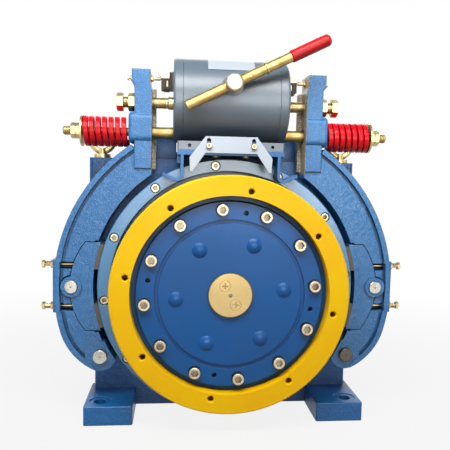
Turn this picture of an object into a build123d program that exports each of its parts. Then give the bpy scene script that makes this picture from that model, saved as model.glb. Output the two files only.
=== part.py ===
"""Gearless elevator traction machine: grooved sheave on a direct-drive motor, with a
two-arm spring-applied drum brake, its release magnet and a hand release lever.

Millimetres. +X right, +Y back (the sheave faces -Y), +Z up. The origin is the centre of the
foot bolt pattern, on the floor plane.
"""
import math
import os

from build123d import *

# ---- driving dimensions ----------------------------------------------------------------
SHEAVE_R = 215.0          # sheave flange radius
SHEAVE_W = 78.0           # sheave width
ROPE_COUNT = 5            # rope grooves
GROOVE_PITCH = 14.0
GROOVE_DEPTH = 11.0
DRUM_R = 245.0            # brake drum radius
DRUM_Y0 = -114.0          # front face of the drum
DRUM_RING_W = 48.0        # bolted drum ring
DRUM_BACK_W = 16.0        # rotor flange behind it, same outside radius
ARM_W = 60.0              # brake arm width along Y
ARM_DEPTH = 67.0          # radial depth of the arm's bow
SHOE_PIN_R = 12.2
PIVOT_PIN_R = 13.5
PIVOT_DEG = 29.3          # arm pivots, degrees below the shaft centre
COLUMN_T = 32.0           # arm column thickness along X
MAGNET_R = 79.0           # release magnet case radius
MAGNET_HALF = 106.0       # its half length over the end caps
CAP_T = 18.0              # magnet end cap thickness
PLUNGER_DROP = 5.0        # plunger axis under the case axis
PLUNGER_R = 36.0
PIN_R = 12.0              # plunger push pin
BAR_T = 16.0              # magnet base bar thickness
BAR_HALF = 98.0           # its half length
PLATE_T = 9.0             # magnet platform thickness
ROD_R = 11.0              # spring rod radius between the arms
ROD_END_R = 8.0           # and at its threaded ends
SPRING_R = 22.0           # mean coil radius
SPRING_L = 86.0           # fitted spring length
SPRING_TURNS = 6.1
WIRE_RADIAL, WIRE_AXIAL = 12.4, 9.2
LEVER_DEG = 26.3          # lever angle at rest
FOOT_T = 36.0
FOOT_HOLE_R = 12.0
BOLT_Y = 116.0            # foot bolts, in front of and behind the origin
HOUSE_L = 132.0           # motor housing length
SHAFT_R = 35.0            # shaft at the sheave

# ---- fits ------------------------------------------------------------------------------
RUN_FIT = 0.05            # radial, shaft or pin that turns or slides
HOLE_FIT = 0.3            # radial, bolt in a clearance hole
TAP_FIT = 0.1             # radial, screw in its tapped hole
AIR = 0.3                 # curved faces that pass each other
DRUM_AIR = 5.0            # drum to the platform above it
FLOOR_AIR = 10.0          # drum to the floor below it
SHOE_AIR = 1.5            # line round each shoe in its arm
BAR_AIR = 1.5             # magnet base bar to the block beside it
BODY_AIR = 6.0            # arm to the housing behind it

# ---- places that follow ----------------------------------------------------------------
AXIS_H = DRUM_R + FLOOR_AIR               # shaft centre above the floor
DRUM_TOP = AXIS_H + DRUM_R
RING_Y1 = DRUM_Y0 + DRUM_RING_W           # back of the drum ring
DRUM_Y1 = RING_Y1 + DRUM_BACK_W           # back of the rotor flange
BRAKE_Y = (DRUM_Y0 + DRUM_Y1) / 2         # middle plane of the brake
SHEAVE_Y = DRUM_Y0 - 8.0 - SHEAVE_W       # sheave front face
PLATE_Y0 = DRUM_Y0 - 36.0                 # platform front edge
PLATE_Z0 = DRUM_TOP + DRUM_AIR
BAR_Z0 = PLATE_Z0 + PLATE_T
BAR_Z1 = BAR_Z0 + BAR_T
MAGNET_Z = BAR_Z1 + MAGNET_R
PUSH_Z = MAGNET_Z - PLUNGER_DROP          # plunger and push bolt height
ROD_Z = BAR_Z1 + 18.0                     # spring rod height
SWITCH_Z = MAGNET_Z + 40.0
LEVER_Z = MAGNET_Z + 21.5
LEVER_Y = BRAKE_Y - MAGNET_R - 12.0
ARM_Y0, ARM_Y1 = BRAKE_Y - ARM_W / 2, BRAKE_Y + ARM_W / 2
ARM_IN_R = DRUM_R + 13.0                  # arm bow, inner radius about the shaft
ARM_OUT_R = ARM_IN_R + ARM_DEPTH
COLUMN_X0 = MAGNET_HALF + 40.0
COLUMN_X1 = COLUMN_X0 + COLUMN_T
ARM_TOP = SWITCH_Z + 13.0
PIVOT_R = DRUM_R + 29.0
PIVOT_X = PIVOT_R * math.cos(math.radians(PIVOT_DEG))
PIVOT_Z = AXIS_H - PIVOT_R * math.sin(math.radians(PIVOT_DEG))
SHOE_PIN_X = DRUM_R + 48.0
HOUSE_R = ARM_IN_R + 30.0                 # motor housing radius
HOUSE_Y0 = ARM_Y1 + BODY_AIR
HOUSE_Y1 = HOUSE_Y0 + HOUSE_L
STATOR_R = DRUM_R - 15.0
BOLT_X = HOUSE_R - 50.0                   # foot bolts, left and right of the origin


# ---- shape helpers ---------------------------------------------------------------------
def cyl_y(r, y0, y1, x=0.0, z=AXIS_H):
    return Pos(x, (y0 + y1) / 2, z) * Rot(90, 0, 0) * Cylinder(r, y1 - y0)


def cyl_x(r, x0, x1, y=BRAKE_Y, z=0.0):
    return Pos((x0 + x1) / 2, y, z) * Rot(0, 90, 0) * Cylinder(r, abs(x1 - x0))


def cyl_z(r, z0, z1, x=0.0, y=0.0):
    return Pos(x, y, (z0 + z1) / 2) * Cylinder(r, z1 - z0)


def box(x0, x1, y0, y1, z0, z1):
    middle = Pos((x0 + x1) / 2, (y0 + y1) / 2, (z0 + z1) / 2)
    return middle * Box(abs(x1 - x0), y1 - y0, z1 - z0)


def ring_y(ro, ri, y0, y1, x=0.0, z=AXIS_H):
    return cyl_y(ro, y0, y1, x, z) - cyl_y(ri, y0 - 1, y1 + 1, x, z)


def ring_x(ro, ri, x0, x1, y=BRAKE_Y, z=0.0):
    lo, hi = min(x0, x1), max(x0, x1)
    return cyl_x(ro, lo, hi, y, z) - cyl_x(ri, lo - 1, hi + 1, y, z)


def front_plane(y, z=0.0):
    """Plane facing the front: local x is +X, local y is +Z."""
    return Plane(origin=(0, y, z), x_dir=(1, 0, 0), z_dir=(0, -1, 0))


def prism_y(points, y0, y1, z=0.0):
    face = make_face(Polyline(*points, close=True))
    return extrude(front_plane(y1, z) * face, y1 - y0)


def at(r, a):
    """Point at radius r and a degrees from +X."""
    return (r * math.cos(math.radians(a)), r * math.sin(math.radians(a)))


def sector_y(ro, ri, a0, a1, y0, y1, x=0.0, z=AXIS_H):
    """Annular sector about an axis along Y, angles in degrees from +X towards +Z."""
    edges = [
        CenterArc((0, 0), ro, a0, a1 - a0),
        Line(at(ro, a1), at(ri, a1)),
        CenterArc((0, 0), ri, a0, a1 - a0),
        Line(at(ri, a0), at(ro, a0)),
    ]
    return Pos(x, 0, z) * extrude(front_plane(y1) * make_face(edges), y1 - y0)


def around(count, radius, start=0.0, z=AXIS_H):
    """(x, z) places on a circle about the shaft axis."""
    places = [at(radius, start + k * 360.0 / count) for k in range(count)]
    return [(x, z + up) for x, up in places]


def front_edges(shape):
    return shape.faces().sort_by(Axis.Y)[0].edges()


def hex_head(flats, height, chamfered=1.5):
    """Hexagonal head standing on z = 0, chamfered at its top."""
    prism = extrude(RegularPolygon(flats / 2, 6, major_radius=False), height)
    corner = flats / math.sqrt(3)
    drum = Pos(0, 0, height / 2) * Cylinder(corner, height)
    top = drum.edges().group_by(Axis.Z)[-1]
    return prism & chamfer(top, chamfered * 0.6, chamfered)


def point_x(x, y, z, sign):
    """Stands a shape built on +Z along +X (sign 1) or -X (sign -1)."""
    return Pos(x, y, z) * Rot(0, 90 * sign, 0)


def cap_screw_y(x, z, y_face, head_r, head_h, shank_r, shank_l, key):
    """Socket head screw along Y, its head standing in front of y_face."""
    head = cyl_y(head_r, y_face - head_h, y_face, x, z)
    rim = head.edges().group_by(Axis.Y)[0]
    head = chamfer(rim, 0.8)
    socket = extrude(RegularPolygon(key / 2, 6, major_radius=False), head_h * 0.6)
    head -= Pos(x, y_face - head_h, z) * Rot(-90, 0, 0) * socket
    return head + cyl_y(shank_r, y_face, y_face + shank_l, x, z)


def group(shapes):
    return Compound(children=[s for shape in shapes for s in shape.solids()])


def flip(shape):
    """The same piece for the right-hand side."""
    return mirror(shape, about=Plane.YZ)


NODES = {}


def node(name, shape):
    NODES[name] = shape


def pair(name, shape):
    """A left-hand piece and its mirrored twin."""
    node(name + "_left", shape)
    node(name + "_right", flip(shape))


# ---- machine base ----------------------------------------------------------------------
FOOT_IN, FOOT_OUT = 63.0, 28.0            # foot, inward and outward of its bolt
FOOT_X0, FOOT_X1 = BOLT_X - FOOT_IN, BOLT_X + FOOT_OUT
FOOT_HALF_Y = 30.0                        # foot, in front of and behind its bolt
FOOT_REACH = 66.0                         # front foot, behind its bolt
RIB_T = 9.0                               # rib that braces the rear foot
BODY_X = BOLT_X + 20.0                    # half width of the lower body
BODY_TOP = 130.0
BOSS_R = 105.0                            # front bearing boss
BEARING_F = (55.0, 85.0, HOUSE_Y0 + 6, HOUSE_Y0 + 38)    # bore, outside, front and back
BEARING_R = (40.0, 65.0, HOUSE_Y1 - 24, HOUSE_Y1 - 2)
LUG_R, LUG_L = 30.0, 28.0                 # arm pivot lug
BLOCK_X = COLUMN_X1 + 7.0                 # magnet block behind the arm columns
BLOCK_Y0, BLOCK_Y1 = HOUSE_Y0 + 26.0, HOUSE_Y0 + 86.0
BLOCK_TOP = BAR_Z1 + 13.0
EYE_X, EYE_Y, EYE_Z = HOUSE_R - 36.0, HOUSE_Y0 + 68.0, DRUM_TOP + 1.0
EYE_HALF = 24.0                           # half width of the pillar under each eyebolt
EYE_SHANK_R = 8.0
COVER_SCREW_R = STATOR_R + 14.0
COVER_SCREWS = around(8, COVER_SCREW_R, 22.5)
BAR_BOLT_X = BAR_HALF - 10.0
BAR_BOLT_R = 5.0
LIP_T, LIP_R = 5.5, 6.5                   # hooked lip, wall and inner bend radius
LIP_X = BAR_HALF - 6.3                    # outer face of its wall
LIP_DROP = 36.5                           # its bend centre under the platform
LIP_REACH, LIP_RISE = 24.0, 24.0          # straight end: its length, and its slope in degrees
TOP_BOLTS = [(side * BAR_BOLT_X, BRAKE_Y + 58) for side in (-1, 1)]
UNDER_BOLTS = [(side * 28.0, PLATE_Y0 + 11) for side in (-1, 1)]


def build_base():
    body = cyl_y(HOUSE_R, HOUSE_Y0, HOUSE_Y1)
    body = trim_round(body, 0.0)
    front = box(-BODY_X, BODY_X, HOUSE_Y0, HOUSE_Y1, 0, BODY_TOP)
    body += fillet(front.edges().filter_by(Axis.Z), 4)
    for side in (-1, 1):
        pillar = box(side * EYE_X - EYE_HALF, side * EYE_X + EYE_HALF, EYE_Y - 24, EYE_Y + 24,
                     AXIS_H + 45, EYE_Z)
        body += fillet(pillar.edges().filter_by(Axis.Z), 8)
        body += box(side * HOUSE_R * 0.7, side * EYE_X, EYE_Y - 9, EYE_Y + 9, AXIS_H + 45, EYE_Z - 14)
    body += build_magnet_block()
    for side in (-1, 1):
        body += build_feet(side)
        body += cyl_y(LUG_R, HOUSE_Y0, HOUSE_Y0 + LUG_L, side * PIVOT_X, PIVOT_Z)
    body += cyl_y(BOSS_R, HOUSE_Y0, BEARING_F[3] + 2)
    body -= build_motor_cavity()
    for side in (-1, 1):
        body -= box(side * (BODY_X - 46), side * (BODY_X - 15), HOUSE_Y0 + 16, HOUSE_Y1 + 1,
                    FOOT_T + 12, BODY_TOP - 18)
        body -= cyl_y(PIVOT_PIN_R, HOUSE_Y0 - 1, HOUSE_Y0 + 51, side * PIVOT_X, PIVOT_Z)
        for y in (-BOLT_Y, BOLT_Y):
            body -= cyl_z(FOOT_HOLE_R, -1, FOOT_T + 1, side * BOLT_X, y)
            body -= cyl_z(FOOT_HOLE_R + 9, FOOT_T - 1.5, FOOT_T + 1, side * BOLT_X, y)
        body -= cyl_z(EYE_SHANK_R + TAP_FIT, EYE_Z - 32, EYE_Z + 1, side * EYE_X, EYE_Y)
    body += build_platform()
    for x, y in TOP_BOLTS:
        body -= cyl_z(BAR_BOLT_R + TAP_FIT, PLATE_Z0 - 20, BAR_Z0 + 1, x, y)
    for x, y in UNDER_BOLTS:
        body -= cyl_z(BAR_BOLT_R + HOLE_FIT, PLATE_Z0 - 1, BAR_Z0 + 1, x, y)
    for x, z in COVER_SCREWS:
        body -= cyl_y(4 + TAP_FIT, HOUSE_Y1 - 24, HOUSE_Y1 + 1, x, z)
    return body


def trim_round(disc, bottom):
    """Cuts a disc about the shaft flat along its top and along its bottom."""
    keep = box(-HOUSE_R, HOUSE_R, -HOUSE_R, HOUSE_R, bottom, DRUM_TOP)
    return disc & keep


def build_magnet_block():
    """Raised block that carries the magnet and backs the spring rods."""
    root = DRUM_TOP - 30
    block = box(-BLOCK_X, BLOCK_X, BLOCK_Y0, BLOCK_Y1, root, BLOCK_TOP)
    block = fillet(block.edges().filter_by(Axis.Y).group_by(Axis.Z)[-1], 8)
    seat = BAR_HALF + BAR_AIR
    block -= box(-seat, seat, BLOCK_Y0 - 1, BLOCK_Y1 + 1, BAR_Z0, BLOCK_TOP + 1)
    return block + box(-seat, seat, HOUSE_Y0 + 4, BLOCK_Y0 + 1, root, BAR_Z0)


def build_feet(side):
    """Front and rear foot of one side, with the rib that braces the rear one."""
    feet = None
    for y0, y1 in ((-BOLT_Y - FOOT_HALF_Y, -BOLT_Y + FOOT_REACH + FOOT_HALF_Y),
                   (BOLT_Y - FOOT_REACH + 10, BOLT_Y + FOOT_HALF_Y)):
        foot = box(side * FOOT_X0, side * FOOT_X1, y0, y1, 0, FOOT_T)
        foot = fillet(foot.edges().filter_by(Axis.Z), 4)
        foot = chamfer(foot.edges().group_by(Axis.Z)[-1], 1.2)
        feet = foot if feet is None else feet + foot
    rib = [(HOUSE_Y1 - 2, FOOT_T - 2), (HOUSE_Y1 + 40, FOOT_T - 2), (HOUSE_Y1 - 2, FOOT_T + 40)]
    web = extrude(Plane.YZ * make_face(Polyline(*rib, close=True)), RIB_T)
    return feet + Pos(side * (BODY_X - RIB_T) - RIB_T / 2, 0, 0) * web


def build_motor_cavity():
    """Hollow for the motor, the front bearing seat and the shaft hole."""
    seat_back = BEARING_F[3] + 2
    cavity = cyl_y(STATOR_R, HOUSE_Y0 + 14, HOUSE_Y1 + 1)
    cavity -= cyl_y(BOSS_R, HOUSE_Y0, seat_back)
    cavity += cyl_y(BEARING_F[1], BEARING_F[2], seat_back + 1)
    return cavity + cyl_y(BEARING_F[0] + 3, HOUSE_Y0 - 1, BEARING_F[2] + 1)


def build_platform():
    """Plate that reaches forward over the drum, with its ribs and two hooked lips."""
    back = HOUSE_Y0 + 6
    plate = box(-BAR_HALF, BAR_HALF, PLATE_Y0, back, PLATE_Z0, BAR_Z0)
    for side in (-1, 1):
        plate += box(side * (LIP_X - LIP_T), side * BAR_HALF, DRUM_Y0 - 22, back,
                     DRUM_TOP - 10, PLATE_Z0 + 1)
        plate += hooked_lip(side)
    return plate


def hooked_lip(side):
    """Cast lip that hangs from the platform in front of the drum and turns outward."""
    y0, y1 = PLATE_Y0, DRUM_Y0 - 4
    z_bend = PLATE_Z0 - LIP_DROP
    x_bend = LIP_X + LIP_R
    wall = box(LIP_X - LIP_T, LIP_X, y0, y1, z_bend, PLATE_Z0 + 1)
    outer = LIP_R + LIP_T
    bend = sector_y(outer, LIP_R, 180, 270 + LIP_RISE, y0, y1, x_bend, z_bend)
    root_in, root_out = at(LIP_R, LIP_RISE - 90), at(outer, LIP_RISE - 90)
    step = at(LIP_REACH, LIP_RISE)
    tip_in = (root_in[0] + step[0], root_in[1] + step[1])
    tip_out = (root_out[0] + step[0], root_out[1] + step[1])
    end = Pos(x_bend, 0, 0) * prism_y([root_in, tip_in, tip_out, root_out], y0, y1, z_bend)
    shape = wall + bend + end
    return shape if side > 0 else flip(shape)


node("machine_base", build_base())

# ---- motor inside the housing ----------------------------------------------------------
STACK = (HOUSE_Y0 + 31, HOUSE_Y1 - 31)    # stator and rotor stack, front and back
POLES = 16
POLE_R = STATOR_R - 50.0                  # outside of the rotor magnets
RIM_R = POLE_R - 8.0                      # rotor rim under the magnets
HUB_BORE = 52.0                           # rotor hub on the shaft
WINDING_L = 11.0


def build_winding():
    """Coil ends in front of and behind the stack."""
    out_r, in_r = STATOR_R - 8, POLE_R + 12
    front = ring_y(out_r, in_r, STACK[0] - WINDING_L, STACK[0])
    back = ring_y(out_r, in_r, STACK[1], STACK[1] + WINDING_L)
    front = fillet(front.edges().group_by(Axis.Y)[0], 4)
    back = fillet(back.edges().group_by(Axis.Y)[-1], 4)
    return group([front, back])


node("stator_core", ring_y(STATOR_R, POLE_R + 1.5, *STACK))
node("stator_windings", build_winding())
rim = ring_y(RIM_R, RIM_R - 12, *STACK)
spider = ring_y(RIM_R - 8, HUB_BORE, STACK[0] + 27, STACK[0] + 43)
core = ring_y(70, HUB_BORE, STACK[0] + 17, STACK[1] - 7)
node("rotor_yoke", rim + spider + core)
pole_arc = 360 / POLES * 0.4
node("rotor_magnets", group([
    sector_y(POLE_R, RIM_R, k * 360 / POLES - pole_arc, k * 360 / POLES + pole_arc, *STACK)
    for k in range(POLES)
]))


def bearing(bore, outside, y0, y1):
    mid = (bore + outside) / 2
    gap = (outside - bore) * 0.14
    inner = ring_y(mid - gap, bore + RUN_FIT, y0, y1)
    outer = ring_y(outside, mid + gap, y0, y1)
    shield = ring_y(mid + gap, mid - gap, y0 + 1.5, y1 - 1.5)
    return inner + outer + shield


node("bearings", group([bearing(*BEARING_F), bearing(*BEARING_R)]))

# ---- rear cover and encoder ------------------------------------------------------------
COVER_T = 12.0
COVER_Y1 = HOUSE_Y1 + COVER_T
GLAND_R = 10.0
GLAND_XZ = [(-40, AXIS_H - 163), (40, AXIS_H - 163)]
ENCODER_SHAFT_R = 12.0


def build_cover():
    cover = trim_round(cyl_y(HOUSE_R - 10, HOUSE_Y1, COVER_Y1), 3.0)
    cover += cyl_y(BEARING_R[1] + 17, BEARING_R[2] - 4, COVER_Y1)
    cover -= cyl_y(BEARING_R[1], BEARING_R[2] - 5, BEARING_R[3])
    cover -= cyl_y(BEARING_R[0] + 2, BEARING_R[3] - 1, COVER_Y1 + 1)
    holes = [(place, 4 + HOLE_FIT) for place in COVER_SCREWS]
    holes += [(place, 11) for place in around(12, (STATOR_R + BEARING_R[1]) / 2 + 10)]
    holes += [(place, GLAND_R + TAP_FIT) for place in GLAND_XZ]
    for (x, z), r in holes:
        cover -= cyl_y(r, HOUSE_Y1 - 1, COVER_Y1 + 1, x, z)
    for k in range(8):
        rib = box(BEARING_R[1] + 16, STATOR_R - 10, COVER_Y1 - 1, COVER_Y1 + 7, -4, 4)
        cover += Pos(0, 0, AXIS_H) * Rot(0, 22.5 + k * 45.0, 0) * rib
    return cover


node("rear_cover", build_cover())


def cover_screw(x, z):
    screw = cap_screw_y(x, z, -COVER_Y1, 6.5, 8, 4, 30, 6)
    return mirror(screw, about=Plane.XZ)


node("rear_cover_screws", group([cover_screw(x, z) for x, z in COVER_SCREWS]))

encoder = cyl_y(45, COVER_Y1, COVER_Y1 + 6) + cyl_y(29, COVER_Y1, COVER_Y1 + 38)
encoder -= cyl_y(ENCODER_SHAFT_R + RUN_FIT, COVER_Y1 - 1, COVER_Y1 + 26)
encoder -= cyl_y(BEARING_R[0], COVER_Y1 - 1, COVER_Y1 + 3)
node("encoder", chamfer(encoder.edges().group_by(Axis.Y)[-1], 2))


def gland(x, z):
    nut = Pos(x, COVER_Y1, z) * Rot(-90, 0, 0) * hex_head(27, 8)
    cap = Pos(x, COVER_Y1 + 8, z) * Rot(-90, 0, 0) * hex_head(24, 14, 4)
    stem = cyl_y(GLAND_R, COVER_Y1 - COVER_T, COVER_Y1, x, z)
    return nut + cap + stem - cyl_y(5.5, COVER_Y1 - 20, COVER_Y1 + 30, x, z)


node("cable_glands", group([gland(x, z) for x, z in GLAND_XZ]))


def eyebolt(x):
    collar = cyl_z(17, EYE_Z, EYE_Z + 8, x, EYE_Y)
    neck = cyl_z(9, EYE_Z + 7, EYE_Z + 20, x, EYE_Y)
    shank = cyl_z(EYE_SHANK_R, EYE_Z - 28, EYE_Z, x, EYE_Y)
    eye = Pos(x, EYE_Y, EYE_Z + 36) * Rot(90, 0, 0) * Torus(22, 6.5)
    return collar + neck + shank + eye


node("eyebolts", group([eyebolt(-EYE_X), eyebolt(EYE_X)]))


def pivot_pin(x):
    front = ARM_Y0 - 6
    pin = cyl_y(PIVOT_PIN_R, front, HOUSE_Y0 + LUG_L - 2, x, PIVOT_Z)
    pin = chamfer(pin.edges().group_by(Axis.Y)[0], 1.5)
    return pin - cyl_y(1.6, front - 1, front + 3, x, PIVOT_Z)


node("pivot_pins", group([pivot_pin(-PIVOT_X), pivot_pin(PIVOT_X)]))

# ---- shaft, sheave and drum ------------------------------------------------------------
HUB_Y = SHEAVE_Y + 16.0   # hub face
HUB_R = 170.0
BORE_R = 178.5            # sheave bore at the front
WEB_Y = (SHEAVE_Y + 36.0, SHEAVE_Y + 54.0)
WEB_IN_R = 125.0
HUB_BOLT_R = 154.0
HUB_BOLT_SHANK = 7.0
SCREW_START = 6.3         # first screw of both circles, degrees
HUB_BOLTS = around(12, HUB_BOLT_R, SCREW_START)
DRUM_SCREW_R = DRUM_R - 12.0
DRUM_BOLTS = around(12, DRUM_SCREW_R, SCREW_START)
DRUM_SHANK = 5.0
NECK_Y1 = DRUM_Y1 - 22.0  # back of the hub's neck, front of the flange's hub
NECK_R = 75.0
FLANGE_BORE = 48.0
CAP_SCREW_R = 5.0
CAP_SCREWS = around(2, 19.6, 120.0)
CAP_Y = HUB_Y - 7.0

shaft = cyl_y(SHAFT_R, HUB_Y - 1, NECK_Y1)
shaft += cyl_y(FLANGE_BORE, NECK_Y1, DRUM_Y1)
shaft += cyl_y(BEARING_F[0], DRUM_Y1, BEARING_F[3] + 2)
shaft += cyl_y(HUB_BORE, BEARING_F[3] + 2, BEARING_R[2] - 4)
shaft += cyl_y(BEARING_R[0], BEARING_R[2] - 4, COVER_Y1 - 4)
shaft += cyl_y(ENCODER_SHAFT_R, COVER_Y1 - 4, COVER_Y1 + 24)
for x, z in CAP_SCREWS:
    shaft -= cyl_y(CAP_SCREW_R + TAP_FIT, HUB_Y - 2, HUB_Y + 26, x, z)
node("main_shaft", shaft)


def sheave_profile():
    """Half section of the sheave as (radius, y) points, front to back."""
    y0, y1 = SHEAVE_Y, SHEAVE_Y + SHEAVE_W
    pts = [(BORE_R, y0), (SHEAVE_R - 2, y0), (SHEAVE_R, y0 + 2)]
    first = (y0 + y1) / 2 - GROOVE_PITCH * (ROPE_COUNT - 1) / 2
    for k in range(ROPE_COUNT):
        yc = first + k * GROOVE_PITCH
        pts += [
            (SHEAVE_R, yc - 6),
            (SHEAVE_R - GROOVE_DEPTH + 3, yc - 3.6),
            (SHEAVE_R - GROOVE_DEPTH, yc - 1.6),
            (SHEAVE_R - GROOVE_DEPTH, yc + 1.6),
            (SHEAVE_R - GROOVE_DEPTH + 3, yc + 3.6),
            (SHEAVE_R, yc + 6),
        ]
    pts += [(SHEAVE_R, y1), (BORE_R + 4, y1), (BORE_R, WEB_Y[1] + 4), (WEB_IN_R, WEB_Y[1])]
    return pts + [(WEB_IN_R, WEB_Y[0]), (BORE_R, WEB_Y[0])]


def build_sheave():
    profile = [Vector(r, y, 0) for r, y in sheave_profile()]
    section = make_face(Polyline(*profile, close=True))
    sheave = Pos(0, 0, AXIS_H) * revolve(section, Axis.Y, 360)
    for x, z in around(8, (SHEAVE_R + BORE_R) / 2 - 8, 35):
        sheave -= cyl_y(5.2, SHEAVE_Y - 1, SHEAVE_Y + 26, x, z)
        sheave -= Pos(x, SHEAVE_Y + 1, z) * Rot(90, 0, 0) * Cone(4.8, 7.2, 2.4)
    for x, z in HUB_BOLTS:
        sheave -= cyl_y(HUB_BOLT_SHANK + TAP_FIT, WEB_Y[0] - 1, WEB_Y[1] + 1, x, z)
    return sheave


node("traction_sheave", build_sheave())
DOME_R, DOME_H = 14.0, 5.0


def build_hub():
    hub = cyl_y(HUB_R, HUB_Y, HUB_Y + 12)
    hub = fillet(hub.edges().group_by(Axis.Y)[0], 3)
    hub += cyl_y(BORE_R - TAP_FIT, HUB_Y + 11, WEB_Y[0])
    hub += cyl_y(WEB_IN_R - 1, WEB_Y[0] - 1, WEB_Y[1] - 2)
    hub += cyl_y(NECK_R, WEB_Y[1] - 3, NECK_Y1)
    hub -= ring_y(136, 129, HUB_Y - 1, HUB_Y + 3)
    ball_r = (DOME_R ** 2 + DOME_H ** 2) / (2 * DOME_H)
    for x, z in around(6, 98, 5):
        dome = Pos(x, HUB_Y - DOME_H + ball_r, z) * Sphere(ball_r)
        hub += dome & cyl_y(DOME_R + 2, HUB_Y - DOME_H - 1, HUB_Y + 1, x, z)
    for x, z in HUB_BOLTS:
        hub -= cyl_y(11.5, HUB_Y - 1, HUB_Y + 4, x, z)
        hub -= cyl_y(HUB_BOLT_SHANK + HOLE_FIT, HUB_Y - 1, WEB_Y[0] + 1, x, z)
    for x, z in around(4, HUB_BOLT_R - 4.5, 80):
        hub -= cyl_y(4.4, HUB_Y - 1, HUB_Y + 16, x, z)
    return hub - cyl_y(SHAFT_R, HUB_Y - 10, DRUM_Y1)


node("sheave_hub", build_hub())
node("hub_bolts", group([
    cap_screw_y(x, z, HUB_Y + 4, 10.5, 14, HUB_BOLT_SHANK, WEB_Y[1] - HUB_Y - 6, 12)
    for x, z in HUB_BOLTS
]))

cap = cyl_y(SHAFT_R + 5, CAP_Y, HUB_Y - 1)
cap = chamfer(cap.edges().group_by(Axis.Y)[0], 1.5)
cap -= cyl_y(3.5, CAP_Y - 1, HUB_Y)
for x, z in CAP_SCREWS:
    cap -= cyl_y(CAP_SCREW_R + HOLE_FIT, CAP_Y - 1, HUB_Y, x, z)
    cap -= Pos(x, CAP_Y + 2.5, z) * Rot(90, 0, 0) * Cone(5.2, 10.2, 5)
node("centre_cap", cap)


def countersunk(x, z):
    head = Pos(x, CAP_Y + 2.6, z) * Rot(90, 0, 0) * Cone(4.9, 9.8, 4.8)
    screw = head + cyl_y(CAP_SCREW_R - TAP_FIT, CAP_Y + 4.9, HUB_Y + 22, x, z)
    screw -= box(x - 5, x + 5, CAP_Y, CAP_Y + 2.6, z - 1, z + 1)
    return screw - box(x - 1, x + 1, CAP_Y, CAP_Y + 2.6, z - 5, z + 5)


node("cap_screws", group([countersunk(x, z) for x, z in CAP_SCREWS]))


def build_drum():
    drum = ring_y(DRUM_R, DRUM_R - 24, DRUM_Y0, RING_Y1)
    drum = chamfer(drum.edges().group_by(Axis.Y)[0], 1.5)
    for x, z in DRUM_BOLTS:
        drum -= cyl_y(9.2, DRUM_Y0 - 1, DRUM_Y0 + 11, x, z)
        drum -= cyl_y(DRUM_SHANK + HOLE_FIT, DRUM_Y0, RING_Y1 + 1, x, z)
    return drum


def build_flange():
    flange = ring_y(DRUM_R, FLANGE_BORE, RING_Y1, DRUM_Y1)
    flange += ring_y(NECK_R + 7, FLANGE_BORE, NECK_Y1, DRUM_Y1)
    for x, z in DRUM_BOLTS:
        flange -= cyl_y(DRUM_SHANK + TAP_FIT, RING_Y1 - 1, DRUM_Y1 - 4, x, z)
    for x, z in around(6, (DRUM_R + NECK_R) / 2 - 10, 20):
        flange -= cyl_y(32, RING_Y1 - 1, DRUM_Y1 + 1, x, z)
    return flange


node("brake_drum", build_drum())
node("rotor_flange", build_flange())
node("drum_screws", group([
    cap_screw_y(x, z, DRUM_Y0 + 11, 8, 10, DRUM_SHANK, DRUM_RING_W, 8)
    for x, z in DRUM_BOLTS
]))

# ---- brake arms ------------------------------------------------------------------------
BOW_Y0, BOW_Y1 = ARM_Y0 + 4, ARM_Y1 - 4   # web of the bow, inside its rim
RIM_T = 10.0                              # raised rim along the outer contour
GROOVE_T = 6.0                            # groove inside the rim
BOW_TOP = 180 - math.degrees(math.acos(COLUMN_X0 / ARM_IN_R))
COLUMN_Z0 = AXIS_H + math.sqrt(ARM_IN_R ** 2 - COLUMN_X0 ** 2) + 11
HEEL_DEG = 195.0                          # the outer arc ends here and turns into the pivot boss
PIVOT_BOSS_R = 29.0
ROD_BOSS_Z = (ROD_Z - 22, ROD_Z + 36)     # spring boss, bottom and top
ROD_BOSS_T = 10.5                         # the spring seat stands this proud of the column
ROD_BOSS_UP = 4.0                         # and the boss this proud of the column's front
SPRING_X0 = COLUMN_X1 + ROD_BOSS_T + AIR
SPRING_X1 = SPRING_X0 + SPRING_L
INNER_RIB_T = 7.0                         # rib at the back of the column's inner side
HEAD_STEP = 5.0                           # the head is this much wider than the column
HEAD_Z0 = SWITCH_Z - 10.0
SHOE_Y1 = BRAKE_Y + 11.0                  # back of the shoe block, in front of the rear cheek
SHOE_HALF = 18.5                          # half angle of the lining
SHOE_BACK_R = 136.0                       # rounded back of the shoe block
SHOE_BACK_X = SHOE_PIN_X + 3.0            # its outermost point
SHOE_TALL = 84.0                          # half height of the shoe block
LINING_R = DRUM_R + 8.0                   # lining outside
SHOE_EYE_R = 19.4
LUG_X = ARM_OUT_R + 3.0                   # adjusting screw lug, outer face
LUG_HALF = 50.5
PUSH_R = 10.0
SWITCH_R = 3.0
ADJUST_R = 4.0
ADJUST_Y = BRAKE_Y - 8.0
ADJUST_Z = (AXIS_H + 40, AXIS_H - 40)


def bow_face(inset):
    """Left-hand bow as a flat face; inset moves its outer contour inwards."""
    out_r = ARM_OUT_R - inset
    boss_r = PIVOT_BOSS_R - inset
    pivot = (-PIVOT_X, PIVOT_Z - AXIS_H)
    low = (pivot[0] + boss_r * math.cos(math.radians(250)),
           pivot[1] + boss_r * math.sin(math.radians(250)))
    outer = CenterArc((0, 0), out_r, BOW_TOP, HEEL_DEG - BOW_TOP)
    heel = TangentArc(at(out_r, HEEL_DEG), low, tangent=at(1, HEEL_DEG + 90))
    end = Line(low, at(ARM_IN_R, 180 + PIVOT_DEG))
    inner = CenterArc((0, 0), ARM_IN_R, BOW_TOP, 180 + PIVOT_DEG - BOW_TOP)
    top = Line(at(ARM_IN_R, BOW_TOP), at(out_r, BOW_TOP))
    return make_face([outer, heel, end, inner, top])


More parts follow.
